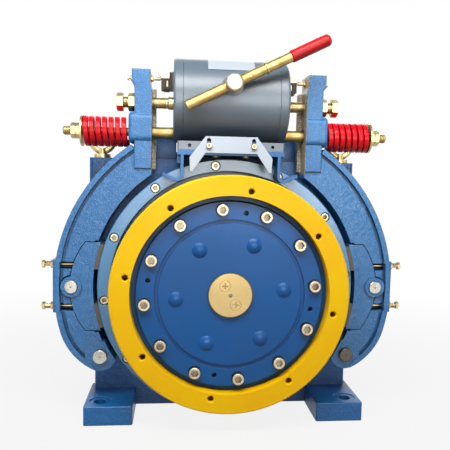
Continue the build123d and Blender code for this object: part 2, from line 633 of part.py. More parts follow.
def bow_slab(inset, y0, y1):
    return Pos(0, 0, AXIS_H) * extrude(front_plane(y1) * bow_face(inset), y1 - y0)


def shoe_outline(grow):
    """Left-hand shoe block as a flat face, with a rounded back."""
    back_r = SHOE_BACK_R + grow
    centre = SHOE_BACK_R - SHOE_BACK_X
    tall = SHOE_TALL + grow
    reach = math.sqrt(back_r ** 2 - tall ** 2)
    in_x = at(DRUM_R, 180 + SHOE_HALF)[0]
    edges = [
        ThreePointArc((centre - reach, tall), (centre - back_r, 0), (centre - reach, -tall)),
        Line((centre - reach, -tall), (in_x, -tall)),
        Line((in_x, -tall), (in_x, tall)),
        Line((in_x, tall), (centre - reach, tall)),
    ]
    return make_face(edges)


def shoe_slab(grow, y0, y1):
    return Pos(0, 0, AXIS_H) * extrude(front_plane(y1) * shoe_outline(grow), y1 - y0)


def build_column():
    """Upright above the bow: foot block, rounded spring boss, neck and head."""
    seat_x = -COLUMN_X1 - ROD_BOSS_T
    outline = [
        (-COLUMN_X0, COLUMN_Z0), (-COLUMN_X0, HEAD_Z0 - 10), (-COLUMN_X0 - 3, HEAD_Z0),
        (-COLUMN_X0 - 3, ARM_TOP), (-COLUMN_X1 - HEAD_STEP, ARM_TOP),
        (-COLUMN_X1 - HEAD_STEP, HEAD_Z0), (-COLUMN_X1, HEAD_Z0 - 6), (-COLUMN_X1, COLUMN_Z0),
    ]
    column = prism_y(outline, ARM_Y0, ARM_Y1)
    column = fillet(front_edges(column), 2.0)
    boss = box(seat_x, -COLUMN_X0, ARM_Y0 - ROD_BOSS_UP, ARM_Y1, *ROD_BOSS_Z)
    boss = fillet(boss.edges().filter_by(Axis.X), 14)
    boss = fillet(boss.faces().sort_by(Axis.X)[0].edges(), 6)
    rib_x = -COLUMN_X0 + INNER_RIB_T
    return column + boss + box(-COLUMN_X0 - 1, rib_x, BRAKE_Y + 12, ARM_Y1, COLUMN_Z0, HEAD_Z0 - 8)


def build_arm():
    """Left-hand brake arm."""
    rim = bow_slab(0, ARM_Y0, ARM_Y1) - bow_slab(RIM_T, ARM_Y0 - 1, ARM_Y1 + 1)
    groove = bow_slab(RIM_T, ARM_Y0 - 1, BOW_Y0 + 6) - bow_slab(RIM_T + GROOVE_T, ARM_Y0 - 2, ARM_Y1)
    arm = bow_slab(0, BOW_Y0, BOW_Y1) + (rim - cyl_y(ARM_OUT_R - 3 * RIM_T, ARM_Y0 - 2, ARM_Y1 + 2))
    arm -= groove - cyl_y(ARM_OUT_R - 3 * RIM_T, ARM_Y0 - 2, ARM_Y1 + 2)
    arm += build_column()
    arm += box(-COLUMN_X1, -COLUMN_X0, BOW_Y0, BOW_Y1, COLUMN_Z0 - 12, COLUMN_Z0 + 2)
    arm += cyl_y(PIVOT_BOSS_R, ARM_Y0 + 2, ARM_Y1 - 2, -PIVOT_X, PIVOT_Z)
    lug = box(-LUG_X, -LUG_X + 14, BRAKE_Y - 24, BRAKE_Y + 14, AXIS_H - LUG_HALF, AXIS_H + LUG_HALF)
    arm += fillet(front_edges(lug), 2.0)
    # window for the shoe, leaving the rear cheek
    window = shoe_slab(SHOE_AIR, ARM_Y0 - 2, SHOE_Y1 + 0.5)
    window += cyl_y(SHOE_EYE_R + 2.5, ARM_Y0 - 2, SHOE_Y1 + 0.5, -SHOE_PIN_X, AXIS_H)
    half = SHOE_HALF + 1.2
    lining_r = LINING_R + 10.5
    window += sector_y(lining_r, DRUM_R - 40, 180 - half, 180 + half, ARM_Y0 - 2, ARM_Y1 + 2)
    window += cyl_y(SHOE_PIN_R, ARM_Y0 - 9, ARM_Y1 + 9, -SHOE_PIN_X, AXIS_H)
    window += cyl_y(PIVOT_PIN_R + RUN_FIT, ARM_Y0 - 9, ARM_Y1 + 9, -PIVOT_X, PIVOT_Z)
    window += cyl_y(DRUM_R + 9, ARM_Y0 - 9, ARM_Y1 + 9)
    arm -= window
    arm -= cyl_x(SPRING_R + WIRE_RADIAL / 2 + 2, -SPRING_X1 - 6, -SPRING_X0 + AIR, BRAKE_Y, ROD_Z)
    for r, z in ((ROD_R + 3, ROD_Z), (PUSH_R + TAP_FIT, PUSH_Z), (SWITCH_R + TAP_FIT, SWITCH_Z)):
        arm -= cyl_x(r, -COLUMN_X1 - 20, -COLUMN_X0 + 10, BRAKE_Y, z)
    for z in ADJUST_Z:
        arm -= box(-LUG_X + 14, -SHOE_BACK_X + 8, ARM_Y0 - 2, ADJUST_Y + 7, z - 7, z + 7)
        arm -= cyl_x(ADJUST_R + TAP_FIT, -LUG_X - 10, -SHOE_PIN_X + 20, ADJUST_Y, z)
    return arm


pair("brake_arm", build_arm())


def build_shoe():
    face = ARM_Y0 + 3
    a0, a1 = 180 - SHOE_HALF, 180 + SHOE_HALF
    shoe = sector_y(LINING_R + 9, DRUM_R, a0, a1, ARM_Y0 + 2, ARM_Y1 - 2)
    shoe += shoe_slab(0, face, SHOE_Y1)
    shoe += cyl_y(SHOE_EYE_R, ARM_Y0 - 1, SHOE_Y1, -SHOE_PIN_X, AXIS_H)
    shoe -= cyl_y(LINING_R, face - 10, ARM_Y1 + 10)
    return shoe - cyl_y(SHOE_PIN_R + RUN_FIT, ARM_Y0 - 9, ARM_Y1 + 9, -SHOE_PIN_X, AXIS_H)


pair("brake_shoe", build_shoe())
LINING_GAP = 7.6                          # half angle of the gap between the two linings
pair("brake_lining", group([
    sector_y(LINING_R, DRUM_R + AIR, a0, a1, ARM_Y0 + 2, ARM_Y1 - 2)
    for a0, a1 in ((180 - SHOE_HALF, 180 - LINING_GAP), (180 + LINING_GAP, 180 + SHOE_HALF))
]))

shoe_pin = cyl_y(SHOE_PIN_R, ARM_Y0 - 4, ARM_Y1 - 5, -SHOE_PIN_X, AXIS_H)
shoe_pin = chamfer(shoe_pin.edges().group_by(Axis.Y)[0], 1.2)
pair("shoe_pin", shoe_pin - cyl_y(1.6, ARM_Y0 - 5, ARM_Y0 - 2, -SHOE_PIN_X, AXIS_H))


def adjusting_screw(z):
    """Screw through the lug that centres the shoe, with its lock nut and end sleeve."""
    side = abs(z - AXIS_H) + ADJUST_R
    back = math.sqrt(SHOE_BACK_R ** 2 - side ** 2) - SHOE_BACK_R + SHOE_BACK_X
    screw = cyl_x(ADJUST_R, -LUG_X - 18, -back - 3.0, ADJUST_Y, z)
    head = point_x(-LUG_X - 17, ADJUST_Y, z, -1) * hex_head(13, 5.5)
    nut = point_x(-LUG_X, ADJUST_Y, z, -1) * hex_head(13, 6.5)
    return screw + head + nut


pair("adjusting_screws", group([adjusting_screw(z) for z in ADJUST_Z]))

PUSH_GAP = AIR                            # push bolt to plunger pin, brake closed
PLUNGER_END = MAGNET_HALF + 11.0          # outer end of the plunger pin
PUSH_HEAD = 30.0                          # flats of the push bolt and its nut
push_bolt = cyl_x(PUSH_R, -COLUMN_X1 - 24, -PLUNGER_END - PUSH_GAP, BRAKE_Y, PUSH_Z)
push_bolt += point_x(-COLUMN_X1 - 22, BRAKE_Y, PUSH_Z, -1) * hex_head(PUSH_HEAD, 12.5, 2.5)
pair("push_bolt", push_bolt)
push_nut = point_x(-COLUMN_X1, BRAKE_Y, PUSH_Z, -1) * hex_head(PUSH_HEAD, 13, 2.5)
pair("push_nut", push_nut - cyl_x(PUSH_R, -COLUMN_X1 - 20, -COLUMN_X0, BRAKE_Y, PUSH_Z))

SWITCH_TIP = MAGNET_HALF + 25.0           # outer end of the switch plunger
switch_bolt = cyl_x(SWITCH_R, -COLUMN_X1 - 6, -SWITCH_TIP - AIR, BRAKE_Y, SWITCH_Z)
switch_bolt += point_x(-COLUMN_X1 - HEAD_STEP, BRAKE_Y, SWITCH_Z, -1) * hex_head(10, 4)
switch_bolt += point_x(-COLUMN_X0 - 3, BRAKE_Y, SWITCH_Z, 1) * hex_head(10, 5)
pair("switch_bolt", switch_bolt)


# ---- springs and their rods ------------------------------------------------------------
def coil_spring():
    """Closed and ground spring standing on z = 0."""
    length = SPRING_L - 2 * AIR
    seat = 5.0                # thickness of a ground end coil
    tuck = 1.5                # the coil runs this far into each end coil
    rise = length - 2 * seat + 2 * tuck
    helix = Helix(rise / SPRING_TURNS, rise, SPRING_R)
    start = Plane(origin=helix @ 0, x_dir=(1, 0, 0), z_dir=helix % 0)
    wire = sweep(start * Rectangle(WIRE_RADIAL, WIRE_AXIAL), path=helix, is_frenet=True)
    spring = Pos(0, 0, seat - tuck) * wire
    spring &= Pos(0, 0, length / 2) * Cylinder(2 * SPRING_R, length)
    half = WIRE_RADIAL / 2 + 0.4
    for z0 in (0, length - seat):
        end = Cylinder(SPRING_R + half, seat) - Cylinder(SPRING_R - half, seat)
        spring += Pos(0, 0, z0 + seat / 2) * end
    return spring


pair("brake_spring", point_x(-SPRING_X0 - AIR, BRAKE_Y, ROD_Z, -1) * coil_spring())

WASHER_T = 3.5
NUT_H, JAM_NUT_H = 10.0, 8.5
ROD_END = SPRING_X1 + WASHER_T + NUT_H + JAM_NUT_H + 15.0
rods, washers, nuts = [], [], []
for side in (-1, 1):
    rod = cyl_x(ROD_END_R, side * COLUMN_X1, side * ROD_END, BRAKE_Y, ROD_Z)
    rod = chamfer(rod.edges().sort_by(Axis.X)[-1 if side > 0 else 0], 1.5)
    rods.append(rod + cyl_x(ROD_R, side * (MAGNET_HALF - 11), side * COLUMN_X1, BRAKE_Y, ROD_Z))
    seat_x = SPRING_X1 + WASHER_T
    washers.append(ring_x(SPRING_R + WIRE_RADIAL / 2 + 0.8, ROD_END_R + HOLE_FIT, side * SPRING_X1, side * seat_x,
                          BRAKE_Y, ROD_Z))
    for x, h in ((seat_x, NUT_H), (seat_x + NUT_H + 0.4, JAM_NUT_H)):
        nut = point_x(side * x, BRAKE_Y, ROD_Z, side) * hex_head(26, h, 2)
        nuts.append(nut - cyl_x(ROD_END_R, side * (x - 5), side * (x + h + 5), BRAKE_Y, ROD_Z))
node("spring_rods", group(rods))
node("spring_washers", group(washers))
node("spring_nuts", group(nuts))

# ---- release magnet --------------------------------------------------------------------
BODY_HALF = MAGNET_HALF - CAP_T
CORE_R = MAGNET_R - PLUNGER_DROP - 10.0   # coil space, about the plunger axis
KNOB_R = 15.6
PIVOT_STUB_R = 9.0                        # lever spindle in the case


def build_case():
    front = BRAKE_Y - MAGNET_R
    case = cyl_x(MAGNET_R, -BODY_HALF, BODY_HALF, BRAKE_Y, MAGNET_Z)
    case += cyl_y(19, front - 1, front + 13, 0, LEVER_Z)
    case += box(-BODY_HALF + 4, BODY_HALF - 4, BRAKE_Y - 22, BRAKE_Y + 22, BAR_Z1, MAGNET_Z - 60)
    case -= cyl_x(CORE_R, -BODY_HALF - 1, BODY_HALF + 1, BRAKE_Y, PUSH_Z)
    return case - cyl_y(PIVOT_STUB_R + RUN_FIT, front - 11, BRAKE_Y, 0, LEVER_Z)


node("magnet_housing", build_case())

end_cap = cyl_x(MAGNET_R, -MAGNET_HALF, -BODY_HALF - 0.4, BRAKE_Y, MAGNET_Z)
end_cap = fillet(end_cap.edges().sort_by(Axis.X)[0], 5)
end_cap += cyl_x(CORE_R - 0.4, -BODY_HALF - 1, -BODY_HALF + 3, BRAKE_Y, PUSH_Z)
end_cap -= cyl_x(PIN_R + RUN_FIT, -MAGNET_HALF - 14, 0, BRAKE_Y, PUSH_Z)
end_cap -= cyl_x(ROD_R, -MAGNET_HALF - 14, -MAGNET_HALF + 12, BRAKE_Y, ROD_Z)
node("magnet_end_caps", group([end_cap, flip(end_cap)]))

coil = ring_x(CORE_R - 2, PLUNGER_R + AIR + 0.4, -BODY_HALF + 3.5, -18, BRAKE_Y, PUSH_Z)
node("brake_coils", group([coil, flip(coil)]))

plunger = cyl_x(PLUNGER_R, -BODY_HALF + 8, -12, BRAKE_Y, PUSH_Z)
plunger = chamfer(plunger.edges().sort_by(Axis.X)[0], 2)
plunger += cyl_x(PIN_R, -PLUNGER_END, -BODY_HALF + 9, BRAKE_Y, PUSH_Z)
pair("plunger", fillet(plunger.edges().sort_by(Axis.X)[0], 3))

BAR_Y0, BAR_Y1 = PLATE_Y0, BRAKE_Y + 68.0
BAR_MID = (BAR_Z0 + BAR_Z1) / 2
GUARD_SCREW_X = 41.0
GUARD_SCREW_R = 3.0
GUARD_T = 3.0


def build_bar():
    bar = box(-BAR_HALF, BAR_HALF, BAR_Y0, BAR_Y1, BAR_Z0, BAR_Z1)
    bar = chamfer(bar.edges().filter_by(Axis.Z), 2)
    for x, y in TOP_BOLTS:
        bar -= cyl_z(BAR_BOLT_R + HOLE_FIT, BAR_Z0 - 1, BAR_Z1 + 1, x, y)
    for x, y in UNDER_BOLTS:
        bar -= cyl_z(BAR_BOLT_R + TAP_FIT, BAR_Z0 - 1, BAR_Z1 - 2, x, y)
    for side in (-1, 1):
        bar -= cyl_y(3, BAR_Y0 - 1, BAR_Y0 + 18, side * (BAR_HALF - 22), BAR_MID)
        bar -= cyl_y(GUARD_SCREW_R + TAP_FIT, BAR_Y0 - 1, BAR_Y0 + 16, side * GUARD_SCREW_X, BAR_MID)
    return bar


node("magnet_base_bar", build_bar())


def platform_bolt(x, y, z, turn, head_h, length):
    screw = cap_screw_y(0, 0, 0, 8, head_h, BAR_BOLT_R, length, 6)
    return Pos(x, y, z) * Rot(turn, 0, 0) * screw


node("magnet_base_bolts", group(
    [platform_bolt(x, y, BAR_Z1, -90, 9, 24) for x, y in TOP_BOLTS]
    + [platform_bolt(x, y, PLATE_Z0, 90, 4, 20) for x, y in UNDER_BOLTS]
))


def build_guard():
    """Bent bracket over the sheave: a bridge with two slots and a leg at each end."""
    top, low = BAR_Z1 + 9, DRUM_TOP + 9
    hip, toe = DRUM_TOP + 0.5, DRUM_TOP - 25
    half = [(0, top), (47, top), (76, hip), (74.5, toe), (70, toe), (47, low), (0, low)]
    face = prism_y(half, BAR_Y0 - GUARD_T, BAR_Y0)
    guard = face + flip(face)
    for side in (-1, 1):
        x = side * GUARD_SCREW_X
        slot = box(x - 3.8, x + 3.8, BAR_Y0 - 5, BAR_Y0 + 1, BAR_MID, BAR_MID + 10)
        for z in (BAR_MID, BAR_MID + 10):
            slot += cyl_y(3.8, BAR_Y0 - 5, BAR_Y0 + 1, x, z)
        guard -= slot
    return guard


node("rope_guard_bracket", build_guard())
node("bracket_screws", group([
    cap_screw_y(side * GUARD_SCREW_X, BAR_MID, BAR_Y0 - GUARD_T, 5, 5, GUARD_SCREW_R, 16, 5)
    for side in (-1, 1)
]))

# ---- hand release lever ----------------------------------------------------------------
LEVER_R = 9.0
LEVER_BACK, LEVER_FRONT = 93.0, 161.0     # rod ends from the pivot
GRIP_END = 191.0
PIVOT_R_LEVER = 6.0
SPLIT_PIN_X, CLIP_X = 36.0, 64.0
lever_at = Pos(0, LEVER_Y, LEVER_Z) * Rot(0, -LEVER_DEG, 0)


def along(r, x0, x1):
    """Cylinder along the lever, from x0 to x1 of its pivot."""
    return Pos((x0 + x1) / 2, 0, 0) * Rot(0, 90, 0) * Cylinder(r, x1 - x0)


rod = along(LEVER_R, -LEVER_BACK, LEVER_FRONT)
rod = chamfer(rod.edges().sort_by(Axis.X)[0], 1.2)
rod -= Rot(90, 0, 0) * Cylinder(PIVOT_R_LEVER, 40)
rod -= Pos(SPLIT_PIN_X, 0, 0) * Rot(90, 0, 0) * Cylinder(1.7, 40)
node("lever_rod", lever_at * rod)

grip = along(LEVER_R + 2, GRIP_END - 78, GRIP_END)
grip = fillet(grip.edges().sort_by(Axis.X)[-1], 8)
grip = chamfer(grip.edges().sort_by(Axis.X)[0], 1.2)
node("lever_grip", lever_at * (grip - along(LEVER_R, 100, LEVER_FRONT)))

case_front = BRAKE_Y - MAGNET_R
spindle = cyl_y(PIVOT_R_LEVER - TAP_FIT, LEVER_Y - 9, LEVER_Y + 9, 0, LEVER_Z)
spindle += cyl_y(PIVOT_STUB_R, LEVER_Y + 9.2, BRAKE_Y + 14, 0, LEVER_Z)
spindle += cyl_y(14, LEVER_Y + 9, case_front - 1.5, 0, LEVER_Z)
spindle += box(-11, 11, BRAKE_Y - 20, BRAKE_Y + 14, LEVER_Z - 8, LEVER_Z + 8)
node("lever_cam", spindle)
knob = cyl_y(KNOB_R, LEVER_Y - 19, LEVER_Y - 9.2, 0, LEVER_Z)
node("lever_knob", fillet(knob.edges().group_by(Axis.Y)[0], 5))

split_pin = Pos(SPLIT_PIN_X, 0, 0) * Rot(90, 0, 0) * Cylinder(1.5, 28)
split_pin += Pos(SPLIT_PIN_X, 16, 2) * Torus(3, 1)
clip = Pos(CLIP_X, 0, 0) * Rot(0, 90, 0) * Torus(LEVER_R + 1.2, 1.1)
node("lever_clips", lever_at * group([split_pin, clip]))

# ---- brake switches --------------------------------------------------------------------
BRACKET_T = 3.0
SWITCH_X0, SWITCH_X1 = MAGNET_HALF + BRACKET_T, MAGNET_HALF + 23.5
SWITCH_Z0, SWITCH_Z1 = SWITCH_Z - 20, SWITCH_Z + 12
SWITCH_PIN_R = 2.0


def build_bracket():
    back = BRAKE_Y + 11
    plate = box(-SWITCH_X0, -MAGNET_HALF, BRAKE_Y - 14, back + BRACKET_T, SWITCH_Z0 - 1, SWITCH_Z1)
    plate += box(-SWITCH_X1, -SWITCH_X0 + 1, back, back + BRACKET_T, SWITCH_Z0 - 1, SWITCH_Z1 - 4)
    return plate & cyl_x(MAGNET_R - 1, -SWITCH_X1 - 1, 0, BRAKE_Y, MAGNET_Z)


def build_switch():
    switch = box(-SWITCH_X1, -SWITCH_X0, BRAKE_Y - 10, BRAKE_Y + 11, SWITCH_Z0, SWITCH_Z1)
    switch = chamfer(switch.edges().filter_by(Axis.Y), 1.5)
    terminal = box(-SWITCH_X1 + 5, -SWITCH_X0 - 5, BRAKE_Y - 5, BRAKE_Y + 3, SWITCH_Z0 - 4,
                   SWITCH_Z0 + 1)
    return switch + terminal - cyl_x(SWITCH_PIN_R + RUN_FIT, -SWITCH_X1 - 3, -SWITCH_X0 - 8,
                                     BRAKE_Y, SWITCH_Z)


bracket, switch = build_bracket(), build_switch()
node("switch_brackets", group([bracket, flip(bracket)]))
node("microswitches", group([switch, flip(switch)]))
pair("switch_plunger", cyl_x(SWITCH_PIN_R, -SWITCH_TIP, -SWITCH_X0 - 10, BRAKE_Y, SWITCH_Z))

# ---- write the pieces ------------------------------------------------------------------
os.makedirs("parts", exist_ok=True)
for name, shape in NODES.items():
    solids = shape.solids()
    out = solids[0] if len(solids) == 1 else Compound(children=list(solids))
    export_step(out, f"parts/{name}.step")
print(len(NODES), "nodes")
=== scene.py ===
# %% [markdown]
# # Gearless elevator traction machine
#
# The machine hoists a lift car without a gearbox: a grooved yellow sheave sits on the shaft
# of a slow electric motor, and two spring-loaded arms press brake shoes on the drum behind
# it. The solid model brings every rigid part, already in place and to size. This notebook
# gives those parts their finishes, adds what is too fine for the solid model, and sets up
# the floor, the light and the camera.

# %% Load the frame
import math

import bmesh
import bpy
from mathutils import Matrix, Vector


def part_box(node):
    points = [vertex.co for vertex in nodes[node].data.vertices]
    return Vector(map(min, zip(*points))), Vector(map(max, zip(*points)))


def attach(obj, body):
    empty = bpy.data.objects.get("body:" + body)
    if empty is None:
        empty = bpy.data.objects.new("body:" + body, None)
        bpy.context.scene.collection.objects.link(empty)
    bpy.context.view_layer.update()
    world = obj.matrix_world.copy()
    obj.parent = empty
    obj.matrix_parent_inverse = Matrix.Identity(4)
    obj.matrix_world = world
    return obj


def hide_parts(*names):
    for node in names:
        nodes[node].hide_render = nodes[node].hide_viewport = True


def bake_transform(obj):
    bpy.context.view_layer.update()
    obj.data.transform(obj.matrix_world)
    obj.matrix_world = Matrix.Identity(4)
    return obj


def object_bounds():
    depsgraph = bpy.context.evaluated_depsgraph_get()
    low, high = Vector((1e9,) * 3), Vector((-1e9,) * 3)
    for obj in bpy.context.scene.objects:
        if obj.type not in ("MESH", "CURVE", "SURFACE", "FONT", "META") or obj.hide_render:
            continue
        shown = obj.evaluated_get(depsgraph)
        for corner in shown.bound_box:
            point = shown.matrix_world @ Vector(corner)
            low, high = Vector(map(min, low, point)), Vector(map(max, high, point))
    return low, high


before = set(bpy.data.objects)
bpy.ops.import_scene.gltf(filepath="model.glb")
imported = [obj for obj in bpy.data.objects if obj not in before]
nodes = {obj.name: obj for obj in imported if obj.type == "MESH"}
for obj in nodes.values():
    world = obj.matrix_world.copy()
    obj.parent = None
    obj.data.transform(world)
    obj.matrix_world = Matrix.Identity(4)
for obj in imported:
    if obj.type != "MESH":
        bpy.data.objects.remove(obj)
cad_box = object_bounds()
MM = 0.001

# %% [markdown]
# ## Short calls for node trees
#
# A material is a small program drawn as a node tree. Written out in full, each node takes
# many lines, so a few helpers keep the recipes readable: add makes a node and wires it, the
# next four do the sums that come up often, new_group makes an empty node group with named
# sockets, and place puts a finished group in a material.

# %% Node tree helpers
def add(tree, kind, inputs=None, **settings):
    """Adds a shader node; an input is either a plain value or the socket that feeds it."""
    made = tree.nodes.new("ShaderNode" + kind)
    for name, value in settings.items():
        setattr(made, name, value)
    for key, value in (inputs or {}).items():
        if isinstance(value, bpy.types.NodeSocket):
            tree.links.new(value, made.inputs[key])
        else:
            made.inputs[key].default_value = value
    return made


def mix_colour(tree, factor, first, second):
    inputs = {0: factor, 6: first, 7: second}
    return add(tree, "Mix", inputs, data_type="RGBA").outputs[2]


def reckon(tree, operation, first, second=0.0, clamp=False):
    made = add(tree, "Math", {0: first, 1: second}, operation=operation, use_clamp=clamp)
    return made.outputs[0]


def stretch(tree, value, low, high, to_low=0.0, to_high=1.0):
    """Maps the range low to high onto to_low to to_high, smoothly, and clamps it."""
    inputs = {"Value": value, "From Min": low, "From Max": high, "To Min": to_low,
              "To Max": to_high}
    return add(tree, "MapRange", inputs, interpolation_type="SMOOTHSTEP").outputs["Result"]


def noise(tree, coordinates, scale, detail=2.0, roughness=0.5):
    inputs = {"Vector": coordinates, "Scale": scale, "Detail": detail, "Roughness": roughness}
    return add(tree, "TexNoise", inputs).outputs["Fac"]


KINDS = {float: "NodeSocketFloat", tuple: "NodeSocketVector"}


def new_group(name, inputs, outputs):
    """An empty node group. inputs is {label: default}, outputs is {label: socket type}."""
    tree = bpy.data.node_groups.new(name, "ShaderNodeTree")
    for label, default in inputs.items():
        made = tree.interface.new_socket(label, in_out="INPUT", socket_type=KINDS[type(default)])
        made.default_value = default
    for label, kind in outputs.items():
        tree.interface.new_socket(label, in_out="OUTPUT", socket_type=kind)
    return tree, tree.nodes.new("NodeGroupInput").outputs, tree.nodes.new("NodeGroupOutput").inputs


def place(tree, group, **values):
    """Puts a finished group in a material; spaces in its labels are written as underscores."""
    made = tree.nodes.new("ShaderNodeGroup")
    made.node_tree = group
    for key, value in values.items():
        socket = made.inputs[key.replace("_", " ")]
        if isinstance(value, bpy.types.NodeSocket):
            tree.links.new(value, socket)
        else:
            socket.default_value = value
    return made.outputs


print("helpers ready")

# %% [markdown]
# ## Worn edges
#
# Paint is thinnest on a sharp edge and goes there first, and plating shines there. The
# Bevel node looks sideways from each point and gives the normal that a small rounding would
# have. Where that differs from the true normal, the point lies near an edge. The same
# normal also softens the highlight along the edge, as a real edge is never quite sharp.

# %% Group: worn edge
NORMAL_OUT = "NodeSocketVector"
VALUE_OUT = "NodeSocketFloat"
EDGE_FROM, EDGE_FULL = 0.985, 0.86    # cosine between the rounded and the true normal
edge_group, given, result = new_group(
    "worn edge", {"Radius": 0.0012, "Patchiness": 40.0},
    {"Edge": VALUE_OUT, "Normal": NORMAL_OUT})
rounded = add(edge_group, "Bevel", {"Radius": given["Radius"]}, samples=4).outputs[0]
true_normal = add(edge_group, "NewGeometry").outputs["Normal"]
alike = add(edge_group, "VectorMath", {0: rounded, 1: true_normal}, operation="DOT_PRODUCT")
near = stretch(edge_group, alike.outputs["Value"], EDGE_FROM, EDGE_FULL)
spot = add(edge_group, "TexCoord").outputs["Object"]
patches = stretch(edge_group, noise(edge_group, spot, given["Patchiness"], 4.0), 0.42, 0.68)
edge_group.links.new(reckon(edge_group, "MULTIPLY", near, patches), result["Edge"])
edge_group.links.new(rounded, result["Normal"])
print("group:", edge_group.name)

# %% [markdown]
# ## Painted castings
#
# The arms and the motor frame are sand castings. Their skin is a field of soft lumps a
# millimetre or two across, and thick enamel over it breaks a highlight up like orange peel.
# Two sizes of noise make that height, and a much larger noise varies the colour, because
# sprayed paint never covers evenly.

# %% Group: cast skin
CAST_DEPTH = 0.0012
GRAIN_SHARE = 0.6
cast_group, given, result = new_group(
    "cast skin", {"Grain": 330.0, "Lumps": 75.0, "Relief": 0.5, "Normal": (0.0, 0.0, 0.0)},
    {"Normal": NORMAL_OUT, "Cloud": VALUE_OUT, "Speckle": VALUE_OUT})
spot = add(cast_group, "TexCoord").outputs["Object"]
grain = noise(cast_group, spot, given["Grain"], 3.0, 0.55)
lumps = noise(cast_group, spot, given["Lumps"], 2.0)
fine = reckon(cast_group, "MULTIPLY", grain, GRAIN_SHARE)
height = reckon(cast_group, "ADD", fine, lumps)
bump = add(cast_group, "Bump", {"Strength": given["Relief"], "Distance": CAST_DEPTH,
                                "Height": height, "Normal": given["Normal"]})
cloud = stretch(cast_group, noise(cast_group, spot, 6.5, 3.0), 0.3, 0.7)
cast_group.links.new(bump.outputs[0], result["Normal"])
cast_group.links.new(cloud, result["Cloud"])
cast_group.links.new(grain, result["Speckle"])
print("group:", cast_group.name)

# %% [markdown]
# ## Dust and shade in the corners
#
# Corners hold dust and wipe marks and get less light, so the darkening that this group
# gives is partly dust and partly painted shade. Ambient Occlusion measures how closed in a
# point is, and noise keeps the result from looking like an airbrushed line.

# %% Group: corner dust and painted shade
dust_shade_group, given, result = new_group("corner dust_shade", {"Reach": 0.02}, {"DustAndShade": VALUE_OUT})
# Closed-in points are darkened: partly dust, partly painted shade.
open_sky = add(dust_shade_group, "AmbientOcclusion", {"Distance": given["Reach"]}, samples=6)
closed = stretch(dust_shade_group, open_sky.outputs["AO"], 0.85, 0.25)
spot = add(dust_shade_group, "TexCoord").outputs["Object"]
blotch = stretch(dust_shade_group, noise(dust_shade_group, spot, 38.0, 4.0), 0.25, 0.75, 0.45, 1.0)
dust_shade_group.links.new(reckon(dust_shade_group, "MULTIPLY", closed, blotch), result["DustAndShade"])
print("group:", dust_shade_group.name)

# %% [markdown]
# ## Lathe marks
#
# A turned face carries fine rings about its axis. The distance from the axis drives a noise
# in one dimension, so every ring has its own depth and brightness. The group asks for the
# height of the axis and for the spacing of the rings.

# %% Group: lathe marks
SCRATCH_DEPTH = 0.0003
lathe_group, given, result = new_group(
    "lathe marks", {"Axis X": 0.0, "Axis Z": 0.255, "Rings": 2200.0, "Relief": 0.2,
                    "Normal": (0.0, 0.0, 0.0)},
    {"Normal": NORMAL_OUT, "Streak": VALUE_OUT})
parts = add(lathe_group, "SeparateXYZ", {0: add(lathe_group, "TexCoord").outputs["Object"]})
across = reckon(lathe_group, "SUBTRACT", parts.outputs["X"], given["Axis X"])
up = reckon(lathe_group, "SUBTRACT", parts.outputs["Z"], given["Axis Z"])
flat_place = add(lathe_group, "CombineXYZ", {0: across, 1: up})
radius = add(lathe_group, "VectorMath", {0: flat_place.outputs[0]}, operation="LENGTH")
rings = add(lathe_group, "TexNoise", {"W": radius.outputs["Value"], "Scale": given["Rings"],
                                      "Detail": 2.0}, noise_dimensions="1D").outputs["Fac"]
bump = add(lathe_group, "Bump", {"Strength": given["Relief"], "Distance": SCRATCH_DEPTH,
                                 "Height": rings, "Normal": given["Normal"]})
lathe_group.links.new(bump.outputs[0], result["Normal"])
lathe_group.links.new(rings, result["Streak"])
print("group:", lathe_group.name)

# %% [markdown]
# ## Drawn and ground metal
#
# Bar stock and ground plates have scratches that run one way. Noise squeezed along two axes
# and left long on the third gives that grain.

# %% Group: drawn grain
drawn_group, given, result = new_group(
    "drawn grain", {"Squeeze": (40.0, 900.0, 900.0), "Relief": 0.15, "Normal": (0.0, 0.0, 0.0)},
    {"Normal": NORMAL_OUT, "Streak": VALUE_OUT})
spot = add(drawn_group, "TexCoord").outputs["Object"]
squeezed = add(drawn_group, "VectorMath", {0: spot, 1: given["Squeeze"]}, operation="MULTIPLY")
streak = noise(drawn_group, squeezed.outputs[0], 1.0, 3.0)
bump = add(drawn_group, "Bump", {"Strength": given["Relief"], "Distance": SCRATCH_DEPTH,
                                 "Height": streak, "Normal": given["Normal"]})
drawn_group.links.new(bump.outputs[0], result["Normal"])
drawn_group.links.new(streak, result["Streak"])
print("group:", drawn_group.name)

# %% [markdown]
# ## Materials
#
# Each finish starts from the same shell: a Principled shader whose fixed numbers are set on
# its own sockets, and a tree for what changes over the surface. Colours are written as they
# look on a screen and turned into the linear values that the renderer works in.

# %% Material shell
def colour(code):
    """A screen colour such as '2A6FB0' as linear RGBA."""
    channels = [int(code[k:k + 2], 16) / 255 for k in (0, 2, 4)]
    return [c / 12.92 if c < 0.04045 else ((c + 0.055) / 1.055) ** 2.4 for c in channels] + [1.0]


def darker(tone, share):
    return [channel * share for channel in tone[:3]] + [1.0]


def new_material(name, **fixed):
    """A material with its Principled shader; fixed sets the shader's own sockets."""
    material = bpy.data.materials.new(name)
    material.use_nodes = True
    tree = material.node_tree
    shader = tree.nodes["Principled BSDF"]
    for label, value in fixed.items():
        shader.inputs[label.replace("_", " ")].default_value = value
    return material, tree, shader.inputs


def wire(tree, links):
    """Connects each (output, input) pair."""
    for output, target in links:
        tree.links.new(output, target)


print("material shell ready")

